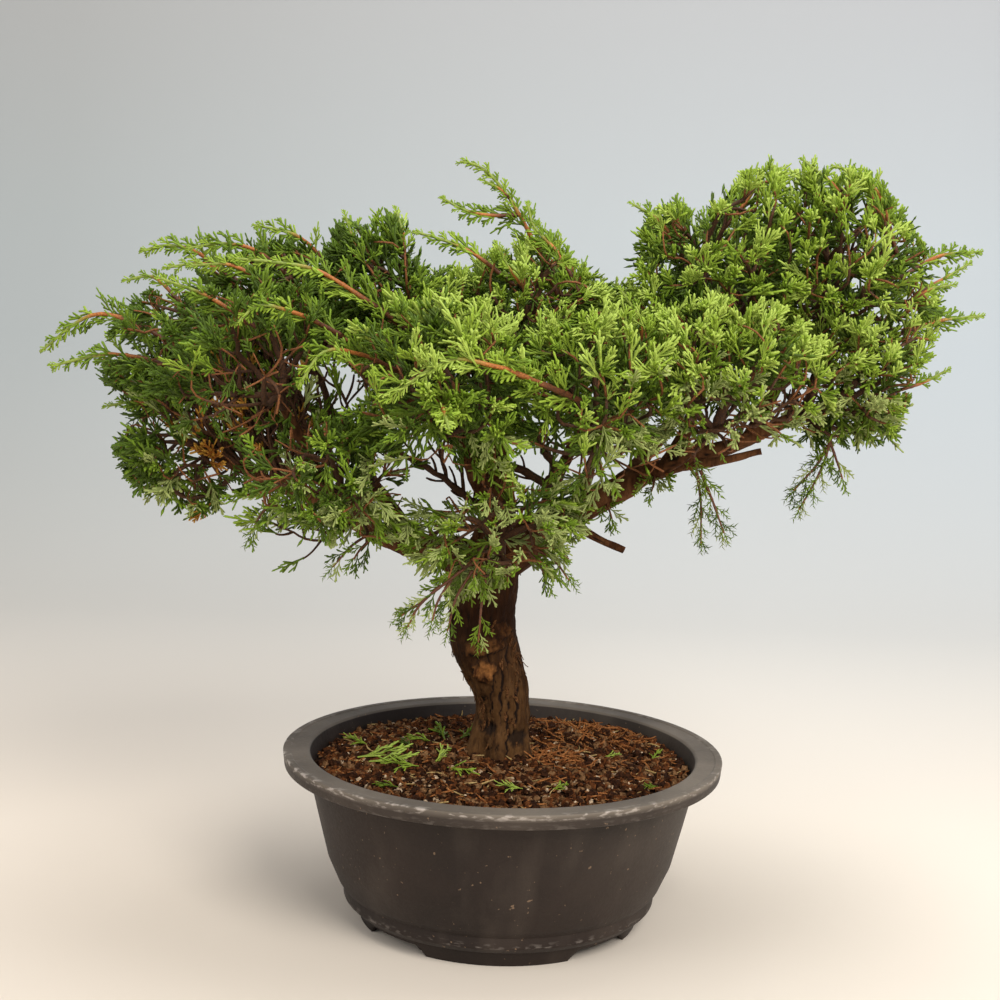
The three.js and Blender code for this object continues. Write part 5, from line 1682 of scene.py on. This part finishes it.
def pot_material():
    """Charcoal plastic, dusty on top with painted light on the rim's right, and scuffed pale along its edges
    with a painted glint on the lip's front.
    """
    made = Material("pot_plastic", (0.04, 0.035, 0.03), 0.6, 0.32)
    fine = made.grain(420, 0.28, 0.0006)
    clouds = made.noise(16, 5)
    streaks = made.noise(34, 5, (1, 1, 0.25))
    scratches = made.noise(420, 6, (0.4, 0.4, 1.2))
    # Dustiness, with painted light that makes the rim paler towards the right, and the pot's paling towards
    # the right
    dust_and_side_light = made.times(made.attribute("dust_and_side_light"), made.spread(clouds, 0.3, 0.62, 0.45, 1.0))
    # Pale wear along the edges, with a painted glint along the lip's front
    wear_and_glint = made.times(made.attribute("edge"), made.spread(scratches, 0.52, 0.64))
    specks = made.spread(made.noise(330, 2), 0.71, 0.74, 0.0, 0.75)
    base = made.mix(made.spread(clouds, 0.35, 0.68), (0.0118, 0.0062, 0.0042), (0.0222, 0.0128, 0.0090))
    base = made.mix(made.spread(streaks, 0.52, 0.72, 0.0, 0.5), base, (0.052, 0.038, 0.029))
    base = made.mix(dust_and_side_light, base, (0.212, 0.178, 0.143))
    base = made.mix(wear_and_glint, base, (0.40, 0.35, 0.31))
    made.colour(made.mix(specks, base, (0.2, 0.13, 0.08)))
    rough = made.mix(wear_and_glint, (0.56, 0.56, 0.56), (0.3, 0.3, 0.3))
    made.roughness(made.mix(made.spread(fine, 0.3, 0.7, 0.0, 0.35), rough, (0.8, 0.8, 0.8)))
    return made.material


def soil_material(name, dark, light, scale=300):
    """Dull bark or soil, from dark to light by its grain."""
    made = Material(name, dark, 0.9, 0.1)
    fine = made.grain(scale, 0.8, 0.0009)
    made.colour(made.mix(made.spread(fine, 0.38, 0.66), dark, light))
    return made.material


# Pot: a turned profile with rounded edges, whose foot band is raised between the four feet
def rounded(profile, radius, steps=4):
    """A profile with its inner corners rounded by short arcs."""
    pts = np.asarray(profile, float)
    out = [pts[0]]
    for a, b, c in zip(pts[:-2], pts[1:-1], pts[2:]):
        to_a, to_c = a - b, c - b
        cut = min(radius, 0.45 * np.linalg.norm(to_a), 0.45 * np.linalg.norm(to_c))
        start, end = b + unit(to_a) * cut, b + unit(to_c) * cut
        for share in np.linspace(0, 1, steps):
            out.append((1 - share) ** 2 * start + 2 * share * (1 - share) * b + share ** 2 * end)
    out.append(pts[-1])
    return np.array(out)


def densified(profile, longest):
    """A profile with more points, so that none are further apart than the longest step."""
    out = [profile[0]]
    for a, b in zip(profile[:-1], profile[1:]):
        steps = max(1, int(math.ceil(np.linalg.norm(b - a) / longest)))
        out += [a + (b - a) * k / steps for k in range(1, steps + 1)]
    return np.array(out)


def pot_profile():
    """The pot's section as radii and heights: its outside from the foot up, its inside, its underside."""
    rim_inner = POT_RADIUS - RIM_WIDTH
    floor_top = FOOT_RECESS + FLOOR
    foot_inner = FOOT_RADIUS - FOOT_WALL
    (low_radius, _), (first_radius, _) = WALL_CURVE[:2]
    step = POT_HEIGHT - 0.55
    outer = [
        (FOOT_RADIUS - 1, 0), (FOOT_RADIUS, 0), (low_radius - 0.4, FOOT_BAND - 1.2),
        (low_radius + 0.9, FOOT_BAND + 0.6), *WALL_CURVE[1:], (WALL_CURVE[-1][0] + 0.4, LIP_BOTTOM),
        (POT_RADIUS - LIP_TAPER, LIP_BOTTOM), (POT_RADIUS, POT_HEIGHT - 0.4), (POT_RADIUS - 0.7, POT_HEIGHT),
        (POT_RADIUS - 4.2, POT_HEIGHT), (POT_RADIUS - 4.9, step), (rim_inner + 1.4, step),
        (rim_inner, POT_HEIGHT - 1.6),
    ]
    inner = [(r - WALL, z) for r, z in reversed(WALL_CURVE[1:])]
    inner += [(first_radius - WALL, floor_top + WALL), (first_radius - 2 * WALL, floor_top)]
    inner.append((0.01, floor_top))
    under = [(0.01, FOOT_RECESS), (foot_inner, FOOT_RECESS), (foot_inner, 0), (FOOT_RADIUS - 1, 0)]
    upper = densified(rounded(outer + inner, 0.9), 4.5)
    return np.vstack([upper, densified(rounded(under, 0.5), 4.0)[:-1]])


def pot_mesh():
    """The turned pot, with its feet, a slight waviness, and the dustiness, wear, painted glint and painted
    light that its material reads.
    """
    profile = pot_profile()
    turns = full_turn(POT_TURNS)
    radius = profile[:, 0][:, None] * np.ones(POT_TURNS)
    height = profile[:, 1][:, None] * np.ones(POT_TURNS)
    # the foot band is cut away between the feet, by slanted ends
    quarter = 2 * math.pi / FEET
    across = radius * np.abs(np.sin(turns % quarter - quarter / 2))
    rise = ramp(-across, -FOOT_CUT_LOW, -FOOT_CUT_TOP) * FOOT_CUT_HEIGHT
    low_band = (height < FOOT_CUT_HEIGHT) & (radius > FOOT_RADIUS - FOOT_WALL - 0.6)
    height = np.where(low_band, np.maximum(height, rise), height)
    # slight waviness of a moulded pot
    wave = 0.22 * np.sin(2 * turns + 0.6) + 0.12 * np.sin(5 * turns)
    radius = radius + (wave - 0.34) * ramp(height, 40, 100) * (radius > 60)
    verts = np.stack([radius * np.cos(turns), radius * np.sin(turns), height], axis=-1)
    mesh = mesh_from("pot_body", verts.reshape(-1, 3), ring_faces(len(profile), POT_TURNS, closed=True))
    z = height.ravel()
    r = radius.ravel()
    turn = np.tile(turns, len(profile))
    # A painted glint along the top of the lip, strongest on the front, joins the pale wear along the pot's
    # edges
    front = 0.45 + 0.55 * np.clip(-np.sin(turn + 0.25), 0, 1)
    scuffs_and_lip_glint = hump(z, POT_HEIGHT - 0.3, 0.9) * hump(r, POT_RADIUS - 0.5, 0.9) * front * 1.7
    scuffs_and_lip_glint += hump(z, FOOT_BAND, 0.9) * (r > FOOT_RADIUS - 1) * 0.25
    scuffs_and_lip_glint += hump(r, POT_RADIUS - 4.5, 0.9) * (z > POT_HEIGHT - 1.4) * 0.3
    scuffs_and_lip_glint += hump(z, LIP_BOTTOM + 0.3, 1.2) * (r > POT_RADIUS - 4) * 0.15
    set_attribute(mesh, "edge", np.clip(scuffs_and_lip_glint, 0, 1))
    # The rim is dusty and painted paler towards the right, as the light falls there; the pot below the rim is
    # paler towards the right and higher up
    rim = (z > POT_HEIGHT - 1.5) & (r > POT_RADIUS - RIM_WIDTH - 1)
    wall_paler_right = 0.28 * np.clip(np.cos(turn - 0.15), 0, 1) * ramp(z, 15, 105)
    lip_dust_and_wall_paling = np.where(r > POT_RADIUS - 3, 0.10, wall_paler_right)
    set_attribute(mesh, "dust_and_side_light", np.where(rim, 0.77 + 0.17 * np.cos(turn), lip_dust_and_wall_paling))
    return mesh


# Soil: an uneven surface with bark chips, grains, dead needles and fallen sprigs on it, and its mounds as
# (x, y, radius, height)
SOIL_MOUNDS = [(72, 52, 30, 5.0), (36, 66, 24, 3.5), (-70, 40, 34, 2.0), (20, -70, 40, 1.6), (0, 0, 44, 2.2)]


def soil_height(x, y):
    """Height of the loose soil at a place, or at arrays of places."""
    heights = [SOIL_TOP, SOIL_TOP, 101.0, SOIL_EDGE]
    z = np.interp(np.hypot(x, y), [0, SOIL_FLAT, 77, SOIL_RADIUS], heights)
    for mound_x, mound_y, wide, tall in SOIL_MOUNDS:
        z = z + tall * np.exp(-((x - mound_x) ** 2 + (y - mound_y) ** 2) / wide ** 2)
    return z


def soil_mesh():
    """The soil's uneven top, closed by a wall and a plain underside."""
    rings = np.linspace(0, SOIL_RADIUS, SOIL_RINGS + 1)[1:]
    turns = full_turn(SOIL_TURNS)
    x = (rings[:, None] * np.cos(turns)).ravel()
    y = (rings[:, None] * np.sin(turns)).ravel()
    flat = np.stack([x, y, np.zeros_like(x)], axis=1)
    z = soil_height(x, y) - 1.2 + 1.1 * fractal(flat, 9, 3) + 0.5 * field(flat, 2.2, 8)
    top = np.stack([x, y, z], axis=1)
    low = top[-SOIL_TURNS:].copy()
    low[:, 2] = SOIL_EDGE - 14
    verts = np.vstack([[0, 0, SOIL_TOP - 1], top, low])
    faces = [[0, 1 + k, 1 + (k + 1) % SOIL_TURNS] for k in range(SOIL_TURNS)]
    faces += ring_faces(SOIL_RINGS + 1, SOIL_TURNS, first=1)[:, [0, 3, 2, 1]].tolist()
    faces.append(list(range(len(verts) - SOIL_TURNS, len(verts)))[::-1])
    return mesh_from("soil_bed", verts, faces)


def lump_shape(seed, flat, rough):
    """An irregular lump: a ball of twenty faces pushed about and flattened."""
    rng = np.random.default_rng(seed)
    golden = (1 + 5 ** 0.5) / 2
    signs = [(a, b * golden) for a in (-1, 1) for b in (-1, 1)]
    corners = [(a, b, 0) for a, b in signs] + [(0, a, b) for a, b in signs] + [(b, 0, a) for a, b in signs]
    ball = unit(corners)
    verts = ball * rng.uniform(1 - rough, 1 + rough, (12, 1))
    verts = verts * (1, rng.uniform(0.55, 0.9), flat)
    faces = []
    for a, b, c in combinations(range(12), 3):
        if max(np.linalg.norm(ball[i] - ball[j]) for i, j in ((a, b), (b, c), (a, c))) < 1.1:
            out = np.dot(np.cross(ball[b] - ball[a], ball[c] - ball[a]), ball[a])
            faces.append([a, b, c] if out > 0 else [a, c, b])
    return mesh_from(f"lump_{seed}", verts, faces, smooth=False)


def splinter_shape(seed, length, wide, bend):
    """A thin curved splinter or dead needle, four-sided and tapering."""
    rng = np.random.default_rng(seed)
    at = np.linspace(-0.5, 0.5, 5)
    centres = np.stack([at * length, bend * length * (at ** 2), np.zeros(5)], axis=1)
    radii = wide * np.array([0.5, 0.95, 1, 0.85, 0.35]) * rng.uniform(0.85, 1.15, 5)
    return mesh_from(f"splinter_{seed}", *plain_tube(centres, radii, 4), smooth=False)


TRUNK_ROOM = 15.0


def soil_places(rng, count, kinds, low, high, sunk, tilt, centre=None, wide=None):
    """Places of loose pieces on the soil, all over it or round a centre."""
    inside = SOIL_RADIUS - 3
    places = []
    while len(places) < count:
        if centre is None:
            r = inside * math.sqrt(rng.random())
            turn = rng.random() * 2 * math.pi
            x, y = r * math.cos(turn), r * math.sin(turn)
        else:
            x, y = centre + rng.normal(0, wide, 2)
        if math.hypot(x, y) > inside or math.hypot(x + 1.7, y) < TRUNK_ROOM:
            continue
        size = low + (high - low) * rng.random() ** 1.6
        root = (x, y, soil_height(x, y) + size * sunk)
        face = unit(UP + rng.normal(0, tilt, 3))
        turn = rng.random() * 2 * math.pi
        side = unit(np.cross((math.cos(turn), math.sin(turn), 0.1), face))
        places.append((root, side, np.cross(face, side), face, size, int(rng.choice(kinds))))
    return places


def flake_shape(seed):
    """A thin strip of loose bark, one long, that lifts towards its free end."""
    rng = np.random.default_rng(seed)
    at = np.linspace(0, 1, 6)
    lift = rng.uniform(0.10, 0.28)
    centres = np.stack([0.05 * rng.normal(0, 1, 6), lift * at ** 2 - 0.05, at], axis=1)
    directions = unit(np.gradient(centres, axis=0))
    wide = 0.15 * np.sin(math.pi * (0.12 + 0.8 * at)) * rng.uniform(0.7, 1.3, 6)
    thin = np.full(6, 0.03)
    radii = np.stack([wide, thin, wide * 0.8, thin], axis=1)
    verts, faces = tube(centres, directions, np.tile((1.0, 0, 0), (6, 1)), radii, 4)
    return mesh_from(f"flake_{seed}", verts, faces, smooth=False)


def add_bark():
    """The trunk and boughs, with strips of loose bark that peel from them."""
    mesh = limb_mesh()
    add_piece("trunk_and_boughs", mesh, bark_material(), list(LIMBS))
    rng = np.random.default_rng(19)
    corners, normals = np.zeros((2, len(mesh.vertices) * 3))
    mesh.vertices.foreach_get("co", corners)
    mesh.vertex_normals.foreach_get("vector", normals)
    corners = corners.reshape(-1, 3) / MM
    normals = normals.reshape(-1, 3)
    # only where the wood is more than about ten millimetres thick
    thick = limb_gap(corners - normals * 4.0) < -5.5
    free = np.flatnonzero(thick & (corners[:, 2] > FLAKES_FROM) & (np.abs(normals[:, 2]) < 0.8))
    places = []
    for corner in rng.choice(free, FLAKES):
        out = normals[corner]
        way = UP * rng.choice((-1, 1), p=(0.65, 0.35)) + rng.normal(0, 0.16, 3)
        way = unit(way - out * np.dot(way, out))
        side = unit(np.cross(out, way))
        places.append((corners[corner] - 0.15 * out, side, out, way, rng.uniform(4, 10), rng.integers(4)))
    shapes = [flake_shape(120 + k) for k in range(4)]
    loose = soil_material("bark_flake", (0.030, 0.010, 0.003), (0.150, 0.066, 0.024), 900)
    scattered("loose_bark", shapes, places, loose, 0.1, 3)


def add_soil():
    """The soil's bed and the loose pieces on it."""
    rng = np.random.default_rng(41)
    bed = soil_material("soil_dark", (0.012, 0.005, 0.002), (0.045, 0.018, 0.008))
    add_piece("soil_bed", soil_mesh(), bed, ["soil"])
    lumps = [lump_shape(3 + k, 0.42 + 0.08 * k, 0.3) for k in range(5)]
    shards = [lump_shape(30 + k, 0.3, 0.42) for k in range(3)]
    straws = [splinter_shape(60 + k, 1.0, 0.045, 0.5 * k - 0.5) for k in range(4)]
    thin = 1.0
    for name, shapes, count, low, high, dark, light in (
        ("soil_dark_bark", lumps + shards, 2000, 1.3, 4.4, (0.009, 0.003, 0.001), (0.050, 0.017, 0.006)),
        ("soil_red_bark", lumps + shards, 1900, 1.3, 4.4, (0.028, 0.008, 0.002), (0.150, 0.050, 0.014)),
        ("soil_brown_bark", lumps + shards, 1700, 1.2, 4.0, (0.048, 0.020, 0.006), (0.250, 0.132, 0.060)),
        ("soil_pale_grains", lumps, 620, 1.1, 2.6, (0.260, 0.165, 0.090), (0.640, 0.500, 0.350)),
    ):
        places = soil_places(rng, int(count * thin), range(len(shapes)), low, high, 0.1, 0.55)
        scattered(name, shapes, places, soil_material(name, dark, light, 500), seed=5)
    needles = soil_places(rng, int(420 * thin), range(4), 7, 17, 0.09, 0.16)
    for count, centre, wide in ((130, (64, 54), 19), (80, (34, -6), 9)):
        needles += soil_places(rng, int(count * thin), range(4), 7, 16, 0.16, 0.34, centre, wide)
    red = soil_material("soil_needle", (0.170, 0.048, 0.012), (0.370, 0.165, 0.055), 700)
    scattered("soil_dead_needles", straws, needles, red, seed=9)
    straw = soil_places(rng, int(120 * thin), range(4), 6, 14, 0.12, 0.2)
    yellow = soil_material("soil_straw", (0.260, 0.170, 0.060), (0.480, 0.340, 0.150), 700)
    scattered("soil_pale_straw", straws, straw, yellow, seed=11)


# Fallen green sprigs on the soil: (x, y, turn in degrees, size, tone)
FALLEN = [
    (-92, -12, 10, 0.95, 3), (-84, -22, -6, 0.9, 3), (-88, 16, 160, 0.5, 2), (-38, 22, 100, 0.9, 1),
    (-28, 26, 60, 0.7, 1), (-46, 18, 150, 0.6, 2), (-42, -26, 70, 0.85, 3), (-52, -34, 200, 0.75, 2),
    (-34, -38, 320, 0.7, 2), (12, -76, 190, 0.5, 3), (30, -74, 40, 0.4, 2), (-58, 6, 120, 0.5, 0),
    (66, 2, 20, 0.35, 3), (95, -50, 210, 0.35, 1), (-62, -72, 160, 0.45, 1), (96, 6, 60, 0.4, 2),
]


def add_fallen():
    """Lays the fallen sprigs on the soil."""
    for x, y, turn, size, tone in FALLEN:
        turn = math.radians(turn)
        root = np.array([x, y, soil_height(x, y) + 2.2])
        way = (math.cos(turn), math.sin(turn), 0.12)
        add_spray(root, way, (0.1, -0.2, 1), size, LARGE_KINDS[abs(x) % 4], tone)


# Twig meshes from the grown masses: above what load a twig has old bark, how far apart its rings are, how far
# it strays, and how many corners a shoot's stem has
OLD_LOAD = 9
RING_EVERY = 5.0
TWIG_STRAY = 0.22
STEM_CORNERS = 7


def twig_runs(twigs):
    """Chains of joints, each following its heaviest child."""
    children = {}
    for joint in range(1, len(twigs.points)):
        if twigs.loads[joint] > 0:
            children.setdefault(twigs.parents[joint], []).append(joint)
    runs = []
    starts = [(0, 1)]
    while starts:
        come, at = starts.pop()
        run = [come, at]
        while children.get(run[-1]):
            onward = sorted(children[run[-1]], key=lambda j: -twigs.loads[j])
            starts += [(run[-1], child) for child in onward[1:]]
            run.append(onward[0])
        runs.append(run)
    return runs


class Tubes:
    """Tubes that are joined into one mesh."""

    def __init__(self):
        self.verts = []
        self.faces = []
        self.count = 0

    def add(self, centres, radii, round_steps, tip=True):
        """Adds a tube along centres."""
        verts, faces = plain_tube(centres, radii, round_steps, tip)
        self.faces += [[corner + self.count for corner in face] for face in faces]
        self.verts.append(verts)
        self.count += len(verts)

    def mesh(self, name):
        """The mesh of all the tubes."""
        return mesh_from(name, np.vstack(self.verts), self.faces)


def uneven(radii, share, rng):
    """Radii that vary at random by about a share."""
    return radii * (1 + share * rng.normal(0, 1, len(radii)).clip(-1.5, 1.5))


def add_run(twigs, run, old, young, rng):
    """Adds the tube of one run of twigs, old where it carries much and young beyond."""
    points = np.array([twigs.points[joint] for joint in run])
    carried = run[1:2] + run[1:]
    radii = np.array([twigs.radius(joint) for joint in carried])
    if run[0] != 0:
        radii[0] = min(radii[0] * 1.1, twigs.radius(run[0]))
    samples = max(4, int(np.linalg.norm(np.diff(points, axis=0), axis=1).sum() / RING_EVERY))
    centres, at, marks = smooth_curve(points, samples)
    radius = np.interp(at, marks, radii)
    load = np.interp(at, marks, [twigs.loads[joint] for joint in carried])
    kink = rng.normal(0, TWIG_STRAY, centres.shape)
    kink[0] = 0
    centres = centres + kink
    radius = uneven(radius, 0.12, rng)
    cut = int((load > OLD_LOAD).sum())
    begin = max(cut - 1, 0)
    if cut >= 2:
        old.add(centres[:cut], radius[:cut], 6, tip=cut == samples)
    if samples - begin >= 2:
        young.add(centres[begin:], radius[begin:], 4)


def add_twigs(all_twigs):
    """Twig tubes: old dark ones, young orange-brown ones nearer the sprays, and the shoots' stems."""
    old, young, stems = Tubes(), Tubes(), Tubes()
    rng = np.random.default_rng(77)
    for twigs in all_twigs:
        for run in twig_runs(twigs):
            add_run(twigs, run, old, young, rng)
    for centres, radius in BARE_STEMS:
        old.add(centres, uneven(radius, 0.1, rng), 6 if len(centres) > 5 else 4)
    ages = []
    for centres, _, length, hanging in SHOOT_STEMS:
        thick, thin, oldest = (1.0, 0.5, 0.3) if hanging else (1.05 + length / 150, 0.8, 1.0)
        stems.add(centres, uneven(np.linspace(thick, thin, len(centres)), 0.08, rng), STEM_CORNERS)
        ages.append(np.append(np.repeat(np.linspace(0.0, oldest, len(centres)), STEM_CORNERS), 1.0))
    dark = twig_material("twig_old", (0.024, 0.0075, 0.0018), (0.118, 0.045, 0.0135))
    warm = twig_material("twig_young", (0.110, 0.031, 0.007), (0.300, 0.110, 0.027))
    add_piece("twigs_old", old.mesh("twigs_old"), dark)
    add_piece("twigs_young", young.mesh("twigs_young"), warm)
    mesh = stems.mesh("shoot_stems")
    set_attribute(mesh, "age", np.concatenate(ages))
    add_piece("shoot_stems", mesh, shoot_material())


# Foliage: the sprays of each tone, as joined meshes under the limit of triangles a piece. Each tone has its
# name and the colours of its tips and of its inner cords
# Deep, mid, bright and the lightest tone are the green painted from shade to light; the lightest is also the
# new growth at the shoots' tips, grey is the paler green of the low front, and gold the dead sprays
TONES = [
    ("deep", (0.076, 0.132, 0.0075), (0.052, 0.086, 0.0065)),
    ("mid", (0.160, 0.255, 0.016), (0.112, 0.170, 0.012)),
    ("bright", (0.255, 0.368, 0.034), (0.185, 0.262, 0.022)),
    ("fresh", (0.375, 0.490, 0.085), (0.280, 0.368, 0.052)),
    ("grey", (0.335, 0.395, 0.125), (0.265, 0.315, 0.092)),
    ("gold", (0.520, 0.270, 0.040), (0.380, 0.145, 0.022)),
]
PIECE_LIMIT = 195000


def batches_of(places, costs, limit):
    """Places in batches whose shapes have no more triangles than the limit."""
    batches = [[]]
    total = 0
    for place in places:
        cost = costs[place[5]]
        if total + cost > limit:
            batches.append([])
            total = 0
        batches[-1].append(place)
        total += cost
    return batches


def add_foliage():
    """Makes the sprays' pieces, by tone and part."""
    sides = []
    for part, label in enumerate(("inner", "tips")):
        shapes = [(np.array(shape[part][0]), np.array(shape[part][1])) for shape in SHAPES]
        meshes = [mesh_from(f"spray_{label}_{k}", *shape) for k, shape in enumerate(shapes)]
        sides.append((label, meshes, [len(faces) for _, faces in shapes]))
    made = []
    for tone, (label, tip_colour, inner_colour) in enumerate(TONES):
        places = []
        for root, direction, face, size, kind, its_tone in SPRAYS:
            if its_tone == tone:
                places.append((root, unit(np.cross(face, direction)), face, direction, size, kind))
        if not places:
            continue
        for (part, meshes, costs), colour, rough in zip(sides[::-1], (tip_colour, inner_colour), (0.5, 0.62)):
            material = leaf_material(f"leaf_{label}_{part}", colour, rough)
            batches = batches_of(places, costs, PIECE_LIMIT)
            for k, batch in enumerate(batches):
                name = f"sprays_{label}_{part}" + (f"_{k + 1}" if len(batches) > 1 else "")
                made.append(scattered(name, meshes, batch, material, 0.06, 13 + tone, smooth=True))
    return made


# Stage, lights and camera, in metres
STAGE_HALF = 3.0
STAGE_FRONT = -1.6
STAGE_BACK = 1.9
STAGE_BEND = 0.9
STAGE_TOP = 4.0


def add_stage():
    """A floor that sweeps up into a backdrop, with a coloured ramp painted on it as light and shade."""
    sweep = [(STAGE_FRONT, 0.0)]
    for k in range(13):
        turn = math.pi / 2 * k / 12
        sweep.append((STAGE_BACK + STAGE_BEND * (math.sin(turn) - 1), STAGE_BEND * (1 - math.cos(turn))))
    sweep.append((STAGE_BACK, STAGE_TOP))
    verts = [(x, y, z) for y, z in sweep for x in (-STAGE_HALF, STAGE_HALF)]
    faces = [[2 * k, 2 * k + 1, 2 * k + 3, 2 * k + 2] for k in range(len(sweep) - 1)]
    mesh = mesh_from("backdrop", np.array(verts) / MM, faces)
    made = Material("backdrop", (0.74, 0.72, 0.68), 0.9)
    made.grain(40, 0.02, 0.0005)
    # Painted light: paler towards the right, where the key lamp stands, and darker and cooler from the front
    # of the floor to the backdrop, with another tint higher up
    across = made.spread(made.along("X"), -0.8, 0.8)
    near = made.mix(made.spread(made.along("X"), -0.3, 0.35), (0.70, 0.62, 0.53), (0.80, 0.73, 0.64))
    far = made.mix(across, (0.45, 0.48, 0.48), (0.60, 0.65, 0.68))
    high = made.mix(across, (0.47, 0.455, 0.45), (0.57, 0.565, 0.585))
    far = made.mix(made.spread(made.along("Z"), 0.55, 1.3), far, high)
    made.colour(made.mix(made.spread(made.along("Y"), 0.2, 1.7), near, far))
    mesh.materials.append(made.material)
    add_object("backdrop", mesh)


def add_light(name, at, aim, size, power, colour):
    """A rectangular lamp that shines from a place towards another."""
    data = bpy.data.lights.new(name, "AREA")
    data.shape = "RECTANGLE"
    data.size, data.size_y = size
    data.energy = power
    data.color = colour
    light = add_object(name, data)
    light.location = at
    light.rotation_euler = (Vector(aim) - Vector(at)).to_track_quat("-Z", "Y").to_euler()


def add_lights():
    """A soft sky, a warm key from the right, a fill from the left and a light from above."""
    world = bpy.data.worlds.new("studio")
    bpy.context.scene.world = world
    world.use_nodes = True
    sky = world.node_tree.nodes["Background"]
    sky.inputs["Color"].default_value = (0.97, 0.97, 0.98, 1)
    sky.inputs["Strength"].default_value = 0.55
    add_light("key", (0.75, -1.55, 1.50), (0, 0, 0.3), (1.0, 1.0), 40, (1.0, 0.96, 0.90))
    add_light("fill", (-1.5, -1.2, 1.2), (0, 0, 0.25), (1.2, 1.2), 11, (1.0, 0.98, 0.95))
    add_light("top", (0.1, 0.2, 2.1), (0, 0, 0.3), (1.2, 0.9), 20, (0.98, 0.99, 1.0))
    bpy.context.scene.view_settings.view_transform = "Standard"


def add_camera():
    """The photograph's camera, which looks slightly down and is rolled a little."""
    data = bpy.data.cameras.new("camera")
    data.sensor_width = SENSOR
    data.lens = CAMERA_FOCAL_PX * SENSOR / PHOTO_PX
    data.clip_end = 50
    right = np.array([1.0, 0, 0])
    up = np.array([0, math.sin(CAMERA_DOWN), math.cos(CAMERA_DOWN)])
    back = np.array([0, -math.cos(CAMERA_DOWN), math.sin(CAMERA_DOWN)])
    rolled = (turned(right, up, CAMERA_ROLL), turned(up, -right, CAMERA_ROLL), back)
    turn = Matrix(rolled).transposed().to_4x4()
    camera = add_object("camera", data)
    camera.matrix_world = Matrix.Translation(CAMERA_AT) @ turn
    bpy.context.scene.camera = camera


add_camera()
add_stage()
add_lights()
add_piece("pot_body", pot_mesh(), pot_material(), ["pot"])
add_soil()
add_bark()
GROWN = [grow(name, 71 + 13 * k) for k, name in enumerate(MASSES)]
bare_twigs()
add_fallen()
add_twigs(GROWN)
SPRAY_PIECES = add_foliage()
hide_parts(*MASSES)
